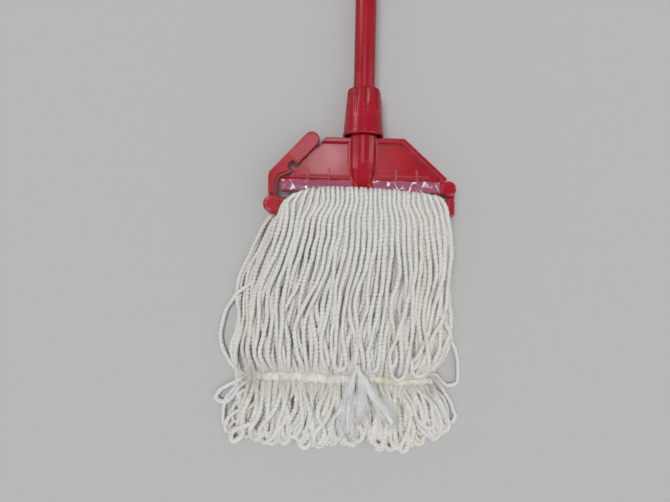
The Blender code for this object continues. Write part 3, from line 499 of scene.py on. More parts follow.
yarn = {
    "radius": 0.0027,
    "plies": 3,
    "lay": 0.0132,                # length of one full twist
    "plyDepth": 0.33,
    "plyPower": 0.8,              # below one the plies are flatter and their grooves sharper
    # the shade values make painted shade between the plies and on the underside
    "shade": (0.6, 1.1),          # the groove value between the plies and on the underside
    "bunches": 5,
    # loops side by side in each layer, from the floor up, with two legs each
    "loops": (16, 15, 15, 16, 15, 15, 15),
    "stagger": (0.5, 0.0, 0.5, 0.0, 0.5, 0.0, 0.5),       # a layer's row lies between the strands below
    "backLayers": 3,
    # ring and step of the strands in each layer, and of the strays: those that show are finer
    "detail": [(12, 0.0015), (12, 0.0016), (12, 0.0016), (12, 0.0016), (10, 0.0017), (12, 0.0014), (12, 0.0013)],
    "strayDetail": (12, 0.0014),
    "heights": (0.172, 0.150, 0.120, 0.090, 0.060, 0.030, 0.008, -0.006),
    # sideways edges and middle of the front, in millimetres, at these heights
    "left": (-79, -85, -96, -107, -111, -112, -107, -107),
    "middle": (4.5, 4.0, 1.0, -5, -8, -8, -8, -9),
    "right": (89, 92, 97, 101, 99, 92, 80, 79),
    "backLeft": (-101, -114, -126, -132, -136, -136, -130, -130),
    "lean": (1.0, 0.9, 0.68, 0.34, 0.2, 0.08, 0.0),       # how far each layer follows the back's left edge
    "leanMiddle": 0.4,            # share of that shift which the middle takes
    "leanRight": 0.004,           # and how far the right edge comes in
    # by layer, with the strays last: the inner layers get a warmer tint that paints the warm shade in the gaps
    # between the strands, and are less tightly twisted
    "paintedGapWarmth": (0.03, 0.05, 0.1, 0.18, 0.38, 0.24, 0.0, 0.0),
    "plump": (1.0, 1.0, 1.02, 1.08, 1.15, 1.15, 1.04, 1.0),
    "tone": (0.05, 0.09),         # mean and spread from strand to strand
    "kink": 0.00030,              # small bends left by the twist
    "kinkBlur": 3.0,
    "thick": 0.06,                # how much the thickness varies along a strand
    "thickBlur": 5.0,
    "thickMost": 2,
    # how much thinner a strand is in the jaw, from how far below it and over what length
    "gripped": 0.15,
    "gripFrom": 0.025,
    "gripOver": 0.020,
    "opened": 0.17,               # how much thicker the front strands are in the fringe, where the twist opens
    "openFrom": -0.006,
    "openOver": 0.030,
    "hang": 0.050,                # how far from the bar the strands come down onto the pile
    "hangPower": 1.5,
    "settle": 0.30,               # share of its radius by which a strand stands on those below
    # how much each front layer swells above and below the sewn band, where and how wide
    "puff": (0.0015, 0.034, 0.022),
    "fringePuff": (0.0010, -0.022, 0.014),
    "twistStart": (0, 6.28),      # where its twist and its fibres start, from strand to strand
    "fibreStart": (0, 40),
}
yarnLook = {
    # deep is the colour of the yarn's painted shade; warm is the strands' warmer tone and also the painted warmth
    # of the inner layers
    "light": (0.822, 0.834, 0.834), "warm": (0.838, 0.785, 0.655), "deep": (0.75, 0.595, 0.40),
    "fineness": 7.0, "bump": 0.6,
}
seeds = {
    "legs": 100, "clump": 7, "loops": 200, "layers": 300,
    "strays": 350, "crossing": 360, "slack": 361, "strands": 400,
}
leg = {
    "knots": 9,                   # evenly spaced from the jaw down to the lowest
    "lowest": 0.030,
    "swap": 0.021,                # share of the width by which a strand's foot may leave its place, and the most
    "swapMost": 0.05,
    "swapPower": 1.3,
    "wander": 0.0050,
    "waves": (0.070, 0.125),      # length of the waves left by the fold
    "phase": 14,                  # how the waves turn along the row, and their spread
    "phaseSpread": 0.7,
    "grow": (0.04, 1.15),         # size of the waves at the jaw, and the power by which they grow
    "calm": (0.6, 6),             # how far and how late they die down again
    "uneven": 0.0008,
    "layerRise": 0.003,
}
clump = {
    "size": 0.0015,
    "waves": 7,
    "across": (18, 62),
    "along": (-4, 4),
    "start": (0, 6.3),
    "level": 2.6,
    "run": 3,
    "fade": 0.94,
}
loop = {
    "length": (0.050, 0.074),
    "shorter": 0.28,              # at the right edge
    "width": (0.0042, 0.0096),
    "fan": (-24.0, 13.0, 31.0),   # degrees that the loops lean, at these places from the left edge to the right
    "fanPlace": (0.0, 0.8, 1.0),
    "fanSpread": 12,
    "fanLow": (-20, 15),          # limits of the spread, at the left edge and what is added across the row
    "fanHigh": (16, -16),
    "crossed": 0.22,              # share of the loops that are crossed
    "bow": 0.0055,
    "tipBow": 0.6,
    # shares of the length and width: neck, shoulder and tip
    "neck": (0.40, 0.35),
    "shoulder": (0.85, 0.7),
    "tip": 0.95,
}
jaw = {
    # for each layer in front of the bar: how far out it turns down and its rise
    "out": (0.0020, 0.0045, 0.0070, 0.0105),
    "rise": (-0.0010, 0.0010, 0.0034, 0.0064),
    "inset": (0.0118, 0.0018),    # how far in from the band's ends the row starts, left and right
    # share of the rise along the row, and how far the row drops at its ends
    "archPlace": (0.0, 0.04, 0.08, 0.13, 0.30, 0.45, 0.60, 0.75, 0.90, 1.0),
    "archShare": (0.8, 0.85, 0.9, 0.95, 1.0, 0.95, 0.74, 0.52, 0.25, 0.1),
    "archDrop": (0.0072, 0.0046, 0.0024, 0.0006, 0.0, 0.0, 0.0, 0.0, 0.0003, 0.0036),
    "flare": (0.0120, 0.0075),    # how far the outermost strands swing out below the jaw, left and right
    "flareLeft": 0.18,            # share of the row that swings out at the left, and where it starts at the right
    "flareRight": 0.8,
    # the five points of a root: shares of the rise, of the way out and of the flare, and what is added
    "riseShare": (0.0, 0.2, 1.0, 0.85, 0.0),
    "riseMore": (0.0, 0.0, 0.0, -0.001, -0.0085),
    "outShare": (0.0, 0.0, 0.45, 0.9, 1.0),
    "outMore": (-0.004, 0.0015, 0.0018, 0.001, 0.001),
    "flareShare": (0.0, 0.0, 0.15, 0.45, 1.0),
    "half": 0.008,                # half thickness of the bar
}
# Loops of the top layer whose feet leave their place: loop number and the way along the row
crossing = {1: 0.055, 4: -0.06, 5: 0.05, 10: 0.06, 14: -0.13}
# Slack loops of the top layer, which turn back by the sewn band: loop number and height of the turn
slack = {6: 0.013, 9: 0.011, 11: 0.001, 12: 0.008}
slackTurn = {
    "half": 0.0062,
    "places": (-1.0, -0.7, 0.0, 0.7, 1.0),
    "rise": (0.013, 0.0035, 0.0, 0.0035, 0.013),
    "legs": (0.0036, 0.0046),     # least and most half distance of the legs
    "spread": (0.0005, 0.0014, 0.0028),
}
# Loops that have slipped out at the sides, in millimetres on the floor plan
strays = {
    ("back", 0): [
        [(-92, 128), (-113, 103), (-128, 92), (-148, 60), (-147, 32), (-130, 8), (-112, -4)],
        [(-112, 8), (-130, -6), (-148, -16), (-154, -24), (-146, -28), (-128, -14), (-108, 4)],
    ],
    ("front", 4): [
        [(84, 74), (97, 48), (109, 12), (108, -3), (97, -6), (84, 5), (68, 10)],
        [(79, 4), (92, -13), (103, -29), (107, -41), (100, -47), (89, -33), (76, -3)],
        [(75, 3), (85, -20), (95, -40), (98, -51), (90, -55), (81, -38), (72, -3)],
    ],
}


def twistedTubes(routes, lengths, radius, ring, phase, opened):
    # each ring is a circle with one lobe per ply, and turns once per lay, so the grooves run as helices;
    # the groove value is painted shade, darkest between the lobes and growing from the top of the strand to its
    # underside
    normal, side = carriedFrames(routes)
    shape, seed = routes.shape[:2], len(routes) + routes.shape[1]
    routes = routes + yarn["kink"] * softNoise(shape, yarn["kinkBlur"], seed)[..., None] * side
    swing = np.clip(softNoise(shape, yarn["thickBlur"], seed + 1), -yarn["thickMost"], yarn["thickMost"])
    radius = radius * (1 + yarn["thick"] * swing)
    radius = radius * (1 + opened * smoothStep((yarn["openFrom"] - routes[..., 1]) / yarn["openOver"]))
    held = smoothStep((routes[..., 1] - jawY + yarn["gripFrom"]) / yarn["gripOver"])
    radius = radius * (1 - yarn["gripped"] * held)
    angle = ringAngles(ring)
    lobe = np.abs(np.cos(yarn["plies"] * angle / 2)) ** yarn["plyPower"]
    size = (1 - yarn["plyDepth"]) + yarn["plyDepth"] * lobe
    a = angle[None, None] + (fullTurn * lengths / yarn["lay"] + phase[:, None])[..., None]
    outward = np.cos(a)[..., None] * normal[:, :, None] + np.sin(a)[..., None] * side[:, :, None]
    points = routes[:, :, None] + (radius[..., None] * size[None, None])[..., None] * outward
    # painted shade towards the underside, away from the light from above
    under = 0.5 - 0.5 * outward[..., 2]
    groove = np.clip(yarn["shade"][0] * (1 - lobe) + yarn["shade"][1] * under, 0, 1)
    along = np.broadcast_to((lengths / yarn["lay"])[..., None], a.shape)
    across = np.broadcast_to(angle / fullTurn * yarn["plies"], a.shape)
    return points, groove, np.stack([across, along], axis=-1)


def edgeCurves(lean, ys):
    # the front's edges and middle at the heights ys; the left edge goes over to the back's as lean goes to one
    def at(label):
        return np.interp(-ys, -np.array(yarn["heights"]), np.array(yarn[label]) / 1000)
    left = at("left") + (at("backLeft") - at("left")) * lean
    return left, at("middle") + (left - at("left")) * yarn["leanMiddle"], at("right") - yarn["leanRight"] * lean


def spreadAcross(u, lean, ys):
    # quadratic through the left edge, the middle and the right edge at each height
    left, middle, right = edgeCurves(lean, ys)
    return left * 2 * (u - 0.5) * (u - 1) - middle * 4 * u * (u - 1) + right * 2 * u * (u - 0.5)


def rightEnd(u):
    # from 0 to 1 over the last strands at the right
    return smoothStep((u - jaw["flareRight"]) / (1 - jaw["flareRight"]))


def jawRoots(u, layer):
    # five points from inside the jaw, out over the bar's edge and round; the row arches and its ends swing out
    side = 1 if layer >= yarn["backLayers"] else -1
    depth = layer - yarn["backLayers"] if side > 0 else yarn["backLayers"] - 1 - layer
    start, stop = bandLow.x + jaw["inset"][0], bandHigh.x - jaw["inset"][1]
    lift = jaw["rise"][depth] * np.interp(u, jaw["archPlace"], jaw["archShare"])
    lift = lift - np.interp(u, jaw["archPlace"], jaw["archDrop"])
    rise = lift[:, None] * np.array(jaw["riseShare"]) + np.array(jaw["riseMore"])
    steps = jaw["out"][depth] * np.array(jaw["outShare"]) + np.array(jaw["outMore"])
    leftEnd = smoothStep((jaw["flareLeft"] - u) / jaw["flareLeft"])
    flare = jaw["flare"][1] * rightEnd(u) - jaw["flare"][0] * leftEnd
    x = (start + (stop - start) * u)[:, None] + flare[:, None] * np.array(jaw["flareShare"])
    z = midZ + side * (jaw["half"] + steps[None] + 0 * u[:, None])
    return np.stack([x, jawY + rise, z], axis=2)


def clumpField(u, share, seed):
    # a few crossed waves that draw neighbouring strands together and apart
    draw = np.random.default_rng(seed)
    total = np.zeros(u.shape)
    for k in range(clump["waves"]):
        across, along, start = (draw.uniform(*clump[label]) for label in ("across", "along", "start"))
        total += np.sin(across * u + along * share + start)
    return total / clump["level"]


def rowPlaces(layer):
    # places of a layer's legs along the row, from 0 to 1
    legs = 2 * yarn["loops"][layer]
    return (np.arange(legs) + yarn["stagger"][layer]) / legs


def legKnots(u, layer, seed, shift):
    # the root, then points down to the sewn band; the strand waves more the further it is from the jaw
    draw = np.random.default_rng(seed)
    ys = np.concatenate([np.linspace(yarn["heights"][0], leg["lowest"], leg["knots"]), yarn["heights"][-2:]])
    share = ((ys[0] - ys) / (ys[0] - ys[-1]))[None]
    swap = np.clip(draw.normal(0, leg["swap"], len(u)), -leg["swapMost"], leg["swapMost"])
    foot = np.clip(u + shift + swap, 0.0, 1.0)
    place = u[:, None] + (foot - u)[:, None] * smoothStep(share ** leg["swapPower"])
    length = draw.uniform(*leg["waves"], (len(u), 1))
    start = leg["phase"] * u[:, None] + draw.normal(0, leg["phaseSpread"], (len(u), 1))
    wave = leg["wander"] * np.sin(fullTurn * (ys[0] - ys) / length + start)
    (least, power), (calm, late) = leg["grow"], leg["calm"]
    x = spreadAcross(place, yarn["lean"][layer], ys) + wave * (least + share ** power) * (1 - calm * share ** late)
    field = clump["size"] * clumpField(place, clump["run"] * share, seed + seeds["clump"])
    x = x + field * np.sin(np.pi * np.clip(share * clump["fade"], 0, 1))
    y = np.broadcast_to(ys, x.shape) + draw.normal(0, leg["uneven"], x.shape)
    root = jawRoots(u, layer)
    far = (root[:, -1:, 1] - ys[None]) / yarn["hang"]
    rest = leg["layerRise"] * (layer + 1)
    z = rest + (root[:, -1:, 2] - rest) * np.exp(-far ** yarn["hangPower"])
    return np.concatenate([root, np.stack([x, y, z], axis=2)], axis=1)


def loopKnots(a, b, u, seed):
    # from the foot of one leg out to a rounded tip and back to the foot of the next; some loops are crossed
    draw = np.random.default_rng(seed)
    count = len(u)
    low, high = loop["fanLow"][0] + loop["fanLow"][1] * u, loop["fanHigh"][0] + loop["fanHigh"][1] * u
    spread = np.clip(draw.normal(0, loop["fanSpread"], count), low, high)
    lean = np.interp(u, loop["fanPlace"], loop["fan"]) + spread
    lean = np.radians(np.minimum(lean, loop["fan"][-1]))
    down = np.stack([np.sin(lean), -np.cos(lean), 0 * lean], axis=1)
    across = np.stack([np.cos(lean), np.sin(lean), 0 * lean], axis=1)
    reach = (draw.uniform(*loop["length"], count) * (1 - loop["shorter"] * rightEnd(u)))[:, None]
    wide = draw.uniform(*loop["width"], count)[:, None]
    flip = np.where(draw.random(count) < loop["crossed"], -1.0, 1.0)[:, None]
    bow = draw.normal(0, loop["bow"], count)[:, None]
    centre = (a + b) / 2 + down * (reach - wide) + across * bow * loop["tipBow"]
    neckDown, neckOut = down * reach * loop["neck"][0], wide * loop["neck"][1]
    first = a + neckDown + across * (bow - neckOut)
    last = b + neckDown + across * (bow + neckOut)
    sideways, back = across * wide * loop["shoulder"][0] * flip, down * wide * loop["shoulder"][1]
    tip = centre + down * wide * loop["tip"]
    knots = np.stack([first, centre - sideways - back, tip, centre + sideways - back, last], axis=1)
    knots[..., 2] = a[:, None, 2]
    return knots


# The pile is a height map of what is already laid; each new strand lies on it and then raises it

pile = {
    "cell": 0.0010,
    "low": (-0.185, -0.105),
    "size": (330, 325),
    "feelers": (-0.7, -0.35, 0, 0.35, 0.7),       # where the pile is felt below a strand, in radii
    "support": (0.7, 0.3),        # how the mean and the highest there count
    "supportBlur": 3.0,
    # how far a strand may move aside, in how many tries, and how it chooses
    "aside": 0.0024,
    "tries": 7,
    "levelBlur": 5.0,
    "choice": 0.0005,
    "asideBlur": 8.0,
    "lowest": (1.12, 0.0006),     # least height of a strand: radii and metres
    "pressed": 0.94,              # share of the radius by which a strand raises the pile
    "markStep": 0.4,
    "marks": np.linspace(-0.9, 0.9, 9),
    "swell": (0.3, 1.7),          # spread of the puff from leg to leg
    # stations on both sides of a loop's turn that are smoothed, those that are read for it, and the blur
    "turn": (10, 22, 2.0),
    "smooth": 1.5,
}
pinch = {"width": 0.011, "keep": 0.70}
pileTop = np.zeros(pile["size"])


def pileCells(x, y):
    # numbers of the cells at these places
    i = np.clip(((x - pile["low"][0]) / pile["cell"]).astype(int), 0, pile["size"][0] - 1)
    j = np.clip(((y - pile["low"][1]) / pile["cell"]).astype(int), 0, pile["size"][1] - 1)
    return i, j


def pileBlock(left, right):
    # cells below a sewn band from left to right
    half = pile["cell"] / 2
    return pileCells(*np.meshgrid(np.arange(left, right, half), np.arange(*sewnBand["cover"], half)))


def smoothPile():
    rows = np.apply_along_axis(blur, 0, pileTop, pile["smooth"])
    return np.apply_along_axis(blur, 1, rows, pile["smooth"])


def heightAt(heights, x, y):
    # height map read between its cells
    fx = np.clip((x - pile["low"][0]) / pile["cell"] - 0.5, 0, pile["size"][0] - 2)
    fy = np.clip((y - pile["low"][1]) / pile["cell"] - 0.5, 0, pile["size"][1] - 2)
    i, j = fx.astype(int), fy.astype(int)
    a, b = fx - i, fy - j
    low = heights[i, j] * (1 - a) + heights[i + 1, j] * a
    return low * (1 - b) + (heights[i, j + 1] * (1 - a) + heights[i + 1, j + 1] * a) * b


def acrossRoute(route):
    # level unit vectors square to the route
    step = np.gradient(route[:, :2], axis=0)
    step /= np.linalg.norm(step, axis=1, keepdims=True) + 1e-12
    return np.stack([-step[:, 1], step[:, 0]], axis=1)


def supportUnder(flat, across, radius):
    # between the mean and the highest of the pile below the strand's width
    tops = np.stack([pileTop[pileCells(*(flat + across * radius * k).T)] for k in pile["feelers"]])
    return pile["support"][0] * tops.mean(axis=0) + pile["support"][1] * tops.max(axis=0)


def nestle(route, radius, free):
    # sideways into the nearest valley: each of the offsets counts by how low the pile is there
    across = acrossRoute(route)
    offsets = np.linspace(-pile["aside"], pile["aside"], pile["tries"])
    under = [supportUnder(route[:, :2] + across * k, across, radius) for k in offsets]
    level = np.stack([blur(heights, pile["levelBlur"]) for heights in under])
    weight = np.exp(-(level - level.min(axis=0)) / pile["choice"])
    shift = blur((weight * offsets[:, None]).sum(axis=0) / weight.sum(axis=0), pile["asideBlur"]) * free
    route[:, :2] += across * shift[:, None]


def raisePile(route, radius):
    # a round back of the strand's radius, marked across its width at short steps of the route
    at, stations = np.arange(0, len(route) - 1, pile["markStep"]), np.arange(len(route))
    dense = np.stack([np.interp(at, stations, route[:, k]) for k in range(3)], axis=1)
    across = acrossRoute(dense)
    for k in pile["marks"]:
        cells = pileCells(*(dense[:, :2] + across * radius * k).T)
        np.maximum.at(pileTop, cells, dense[:, 2] + radius * math.sqrt(1 - k * k))


def hump(y, shape):
    # bell of that height round its centre
    height, centre, width = shape
    return height * np.exp(-((y - centre) / width) ** 2)


def layStrand(route, radius, root, swell, sewn):
    # near the jaw the strand keeps its root's height, further out it comes down onto the pile
    hold = np.zeros(len(route))
    if root is not None:
        far = np.clip((root[1] - route[:, 1]) / yarn["hang"], 0, None)
        hold = np.exp(-far ** yarn["hangPower"])
        hold[:int(np.argmax(route[:, 1] < root[1]))] = 1
    nestle(route, radius, 1 - hold)
    under = supportUnder(route[:, :2], acrossRoute(route), radius)
    lift = blur(under, pile["supportBlur"]) + radius * yarn["settle"]
    squeeze = 1 - (1 - pinch["keep"]) * np.exp(-((route[:, 1] - tailY) / pinch["width"]) ** 2) * sewn
    lift = lift + swell * (hump(route[:, 1], yarn["puff"]) + hump(route[:, 1], yarn["fringePuff"]))
    lift = np.maximum(lift * squeeze, radius * pile["lowest"][0] + pile["lowest"][1])
    held = route[:, 2] if root is None else np.where(route[:, 1] < root[1], root[2], route[:, 2])
    route[:, 2] = np.where(hold >= 1, route[:, 2], hold * held + (1 - hold) * lift)
    raisePile(route, radius * pile["pressed"])


def layRoutes(routes, step, root, seed, radius, swell=0.0, sewn=True):
    # lays looped routes one by one in a random order, each from both ends to its turn
    count = len(routes)
    draw = np.random.default_rng(seed)
    stations = 2 * int(np.linalg.norm(np.diff(routes, axis=1), axis=2).sum(axis=1).mean() / step / 2)
    laid, lengths = np.zeros((count, stations, 3)), np.zeros((count, stations))
    half = stations // 2
    near, read, width = pile["turn"]
    for i in draw.permutation(count):
        route, lengths[i] = evenRoute(routes[i], stations)
        for part in (slice(0, half), slice(stations - 1, half - 1, -1)):
            way = route[part].copy()
            layStrand(way, radius, root, swell * draw.uniform(*pile["swell"]), sewn)
            route[part] = way
        for k in range(3):
            turn = blur(route[half - read:half + read, k], width)
            route[half - near:half + near, k] = turn[read - near:read + near]
        laid[i] = route
    return laid, lengths


def layerKnots(layer):
    # knots of all the legs of a layer; in the top one some feet leave their place
    legs = rowPlaces(layer)
    shift = np.zeros(len(legs))
    if layer == len(yarn["loops"]) - 1:
        shift[[2 * i for i in crossing]] = shift[[2 * i + 1 for i in crossing]] = list(crossing.values())
    return legs, legKnots(legs, layer, seeds["legs"] + layer, shift)


def loopRoutes(layer):
    # down one leg, round the loop and up the next leg
    legs, knots = layerKnots(layer)
    tips = loopKnots(knots[0::2, -1], knots[1::2, -1], legs[0::2], seeds["loops"] + layer)
    return smoothRoutes(np.concatenate([knots[0::2], tips, knots[1::2, ::-1]], axis=1)), knots[0, 4]


def slackRoutes(layer):
    # both legs draw apart and stop short of the band, and a round turn hangs between them
    knots = layerKnots(layer)[1][:, :-2]
    a, b = knots[0::2][list(slack)], knots[1::2][list(slack)]
    centre = (a[:, -4:, 0] + b[:, -4:, 0]) / 2
    half = np.clip((b[:, -4:, 0] - a[:, -4:, 0]) / 2, *slackTurn["legs"])
    a[:, -4:, 0], b[:, -4:, 0] = centre - half, centre + half
    a[:, -3:, 0] -= slackTurn["spread"]
    b[:, -3:, 0] += slackTurn["spread"]
    turns = np.repeat(((a[:, -1] + b[:, -1]) / 2)[:, None], len(slackTurn["places"]), axis=1)
    turns[..., 0] += np.array(slackTurn["places"]) * slackTurn["half"]
    turns[..., 1] = np.array(list(slack.values()))[:, None] + np.array(slackTurn["rise"])
    return smoothRoutes(np.concatenate([a, turns, b[:, ::-1]], axis=1)), a[0, 4]


def makeYarn():
    # layer by layer from the floor up; the strays come in after their side's layers, the slack loops over the band
    material = cottonMaterial("cottonYarn", **yarnLook)
    bunches = {}
    draw = np.random.default_rng(seeds["strands"])
    back, layers = yarn["backLayers"], len(yarn["loops"])

    def addStrands(laid, lengths, ring, side, group, layer):
        mean, spread = yarn["tone"]
        # the warmth of the inner layers is a painted tint for the warm shade in the gaps between the strands
        tone = np.clip(draw.normal(mean + yarn["paintedGapWarmth"][layer], spread, len(laid)), 0, 1)
        phase = draw.uniform(*yarn["twistStart"], len(laid))
        radius, opened = yarn["radius"] * yarn["plump"][layer], yarn["opened"] if layer > back else 0.0
        points, groove, uv = twistedTubes(laid, lengths, radius, ring, phase, opened)
        uv = uv + draw.uniform(*yarn["fibreStart"], (len(laid), 1, 1, 1))
        for g in range(yarn["bunches"]):
            pick = group == g
            if pick.any():
                bunches.setdefault((side, g), []).append((points[pick], groove[pick], uv[pick], tone[pick]))

    def layLoops(layer, routes, root, picked, seed, sewn=True):
        ring, step = yarn["detail"][layer]
        side, swell = ("front", 1.0) if layer >= back else ("back", 0.0)
        radius = yarn["radius"] * yarn["plump"][layer]
        laid, lengths = layRoutes(routes, step, root, seed, radius, swell, sewn)
        addStrands(laid, lengths, ring, side, np.array(picked) * yarn["bunches"] // yarn["loops"][layer], layer)
        print("yarn layer", layer, "with", len(laid), "loops laid, highest", round(float(pileTop.max()), 4))

    def layStrays(wanted):
        ring, step = yarn["strayDetail"]
        for (side, g), lines in strays.items():
            if side == wanted:
                knots = np.array([[(x / 1000, y / 1000, leg["layerRise"]) for x, y in line] for line in lines])
                laid, lengths = layRoutes(smoothRoutes(knots), step, None, seeds["strays"], yarn["radius"])
                addStrands(laid, lengths, ring, side, np.full(len(laid), g), layers)

    pileTop[pileBlock(sewnBand["back"][0][0], sewnBand["back"][-1][0])] = sewnBand["backLayer"]
    for layer in range(layers - 1):
        routes, root = loopRoutes(layer)
        layLoops(layer, routes, root, range(len(routes)), seeds["layers"] + layer)
        if layer in (back - 1, layers - 2):
            layStrays("back" if layer < back else "front")
    top = layers - 1
    routes, root = loopRoutes(top)
    plain = [i for i in range(len(routes)) if i not in crossing and i not in slack]
    layLoops(top, routes[plain], root, plain, seeds["layers"] + top)
    layLoops(top, routes[list(crossing)], root, list(crossing), seeds["crossing"])
    underBand = smoothPile()
    block = pileBlock(tailLow.x, tailHigh.x)
    pileTop[block] = np.maximum(pileTop[block], underBand[block] + sewnBand["lift"])
    layLoops(top, *slackRoutes(top), list(slack), seeds["slack"], sewn=False)
    for (side, g), parts in sorted(bunches.items()):
        obj = joinTubes(f"{side}Yarn{g + 1}", parts)
        finishPiece(obj, material, "gate", "cotton_yarn", f"{side}_yarn_{g + 1}")
        print(obj.name, len(obj.data.polygons), "faces")
    return material, underBand


# Sewn bands and the fluff on them

sewnBand = {
    # middle lines on the plan
    "front": [(tailLow.x, 0.0030), (-0.008, 0.0004), (tailHigh.x - 0.004, -0.0006)],
    "back": [(-0.131, 0.002), (-0.02, 0.0), (0.081, -0.001)],
    "cover": (-0.004, 0.006),     # from where to where the bands lie on the pile
    "backLayer": 0.0015,          # height of the pile over the back band
    "backHeight": 0.0011,
    "backRipple": (0.0003, 400, 500),
    "width": 0.0104,
    "thick": 0.0006,
    "lift": 0.0016,
    "stations": 280,
    "spanSteps": 60,
    "strips": 7,                  # from the middle line to an edge
    "bend": (60.0, 105.0),        # degrees by which its edges turn down, at the left and at the right
    "bendPower": 1.5,
    "rightFrom": -0.02,           # where the right part starts, and over what length
    "rightOver": 0.06,
    "sway": (0.0006, 90, 1),
    "follow": 0.5,                # share of the height under each point and of that under the middle line
    "darkerFrom": 0.75,
    "tone": (0.12, 0.08, 70),     # mean, size and pace of its change along the band
    "stain": (0.6, 0.035, 0.03),
    "weave": (9, 12, 0.35),       # threads across and along, and their height
    "cloth": 0.009,               # length of band for one unit of the weave
}
bandLook = {
    "light": (0.90, 0.888, 0.84), "warm": (0.83, 0.74, 0.58), "deep": (0.80, 0.72, 0.58),
    "fineness": 3.0, "bump": 0.5,
}


def bandMaterial():
    # cotton, with the product of two crossed sets of waves added to its height
    material = cottonMaterial("bandCloth", **bandLook)
    tree = material.node_tree
    bumps = next(n for n in tree.nodes if n.type == "BUMP")
    fibreHeight = bumps.inputs["Height"].links[0].from_socket
    place = next(n for n in tree.nodes if n.type == "UVMAP").outputs[0]
    parts = addNode(tree, "ShaderNodeSeparateXYZ", None, Vector=place).outputs
    across, along, height = sewnBand["weave"]
    weft = maths(tree, "SINE", maths(tree, "MULTIPLY", parts[0], fullTurn * across))
    warp = maths(tree, "SINE", maths(tree, "MULTIPLY", parts[1], fullTurn * along))
    weave = maths(tree, "MULTIPLY", maths(tree, "MULTIPLY", weft, warp), height)
    tree.links.new(maths(tree, "ADD", weave, fibreHeight), bumps.inputs["Height"])
    return material


def makeBand(name, node, line, material, heights=None):
    # a strip along the line that follows the strands under it, and its edges turn down by an angle that grows
    # outwards; with no heights it lies flat on the floor
    band, strips = sewnBand, sewnBand["strips"]
    v = np.linspace(-1, 1, 2 * strips + 1)
    knots = np.array([[(x, y, 0.0) for x, y in line]])
    centre, reach = evenRoute(smoothRoutes(knots, band["spanSteps"])[0], band["stations"])
    right = smoothStep((centre[:, 0] - band["rightFrom"]) / band["rightOver"])
    most = np.radians(band["bend"][0] + (band["bend"][1] - band["bend"][0]) * right)
    angle = most[:, None] * np.linspace(0, 1, strips + 1)[None] ** band["bendPower"] * (heights is not None)
    between = (angle[:, 1:] + angle[:, :-1]) / 2
    start, span = np.zeros((len(centre), 1)), band["width"] / (2 * strips)
    out = np.concatenate([start, np.cumsum(np.cos(between), axis=1)], axis=1) * span
    down = np.concatenate([start, np.cumsum(np.sin(between), axis=1)], axis=1) * span
    size, pace, phase = band["sway"]
    x = centre[:, 0][:, None] + 0 * v[None]
    sway = size * np.sin(pace * centre[:, 0] + phase)[:, None]
    y = centre[:, 1][:, None] + np.hstack([-out[:, :0:-1], out]) + sway
    quads = gridFaces(*x.shape)
    if heights is None:
        size, paceX, paceY = band["backRipple"]
        z = np.full_like(x, band["backHeight"]) + size * np.sin(paceX * x) * np.sin(paceY * y)
    else:
        ridge = heightAt(heights, centre[:, 0], centre[:, 1])
        under = band["follow"] * (ridge[:, None] + heightAt(heights, x, y))
        z = under + band["lift"] - np.hstack([down[:, :0:-1], down])
        quads = quads[:, ::-1]
    points = np.stack([x, y, z], axis=-1)
    uv = np.stack(np.broadcast_arrays(v[None], reach[:, None] / band["cloth"]), axis=-1)
    # a little darker along both outer edges, where they turn down
    groove = np.broadcast_to(np.clip(np.abs(v) - band["darkerFrom"], 0, 1)[None], x.shape)
    mean, size, pace = band["tone"]
    stain, stainX, stainWidth = band["stain"]
    tone = mean + size * np.sin(pace * x) + stain * right[:, None] * np.exp(-((x - stainX) / stainWidth) ** 2)
    obj = buildMesh(name, points, quads, uv=uv, values={"groove": groove, "tone": np.clip(tone, 0, 1)})
    shell = obj.modifiers.new("thickness", "SOLIDIFY")
    shell.thickness = band["thick"]
    shell.offset = -1.0
    finishPiece(obj, material, "gate", "band_cloth", node)


fluff = {
    "seed": 71,
    "count": 700,
    "spread": 0.0034,
    "gathers": [(-0.116, 0.004, 0.010, 300), (0.082, -0.001, 0.006, 110)],    # place, spread and number
    "gatherX": 0.8,
    "length": (0.004, 0.010),
    "heading": 0.55,
    "bend": 0.5,
    "radius": 0.00010,
    "ring": 3,
    "spanSteps": 2,
    "lift": 0.0010,
    "stand": 0.0018,
    "tone": (0.45, 0.2),
}


def makeFluff(heights, material):
    # short loose fibres across the band and at its gathered ends: each a bent thread of three spans
    draw = np.random.default_rng(fluff["seed"])
    line = np.array(sewnBand["front"])
    t = draw.uniform(0, 1, fluff["count"])
    x = line[0, 0] + (line[-1, 0] - line[0, 0]) * t
    y = np.interp(x, line[:, 0], line[:, 1]) + draw.normal(0, fluff["spread"], len(x))
    for gx, gy, spread, count in fluff["gathers"]:
        x = np.concatenate([x, draw.normal(gx, spread * fluff["gatherX"], count)])
        y = np.concatenate([y, draw.normal(gy, spread, count)])
    count = len(x)
    heading = draw.normal(math.pi / 2, fluff["heading"], count)
    length = draw.uniform(*fluff["length"], count)
    bend = draw.normal(0, fluff["bend"], count)
    steps = np.linspace(-0.5, 0.5, 4)
    a = heading[:, None] + bend[:, None] * steps[None]
    px = x[:, None] + np.cos(a) * length[:, None] * steps[None]
    py = y[:, None] + np.sin(a) * length[:, None] * steps[None]
    stand = draw.uniform(0, fluff["stand"], (count, 1)) * (1 + steps[None])
    pz = heightAt(heights, px, py) + fluff["lift"] + stand
    routes = smoothRoutes(np.stack([px, py, pz], axis=2), fluff["spanSteps"])
    tubes = plainTubes(routes, np.full(routes.shape[:2], fluff["radius"]), fluff["ring"])
    tone = np.clip(draw.normal(*fluff["tone"], count), 0, 1)
    finishPiece(joinTubes("bandFluff", [(*tubes, tone)]), material, "gate", "band_cloth")
    print("fluff:", count, "fibres")


# Tie of loose filaments at the middle of the front band

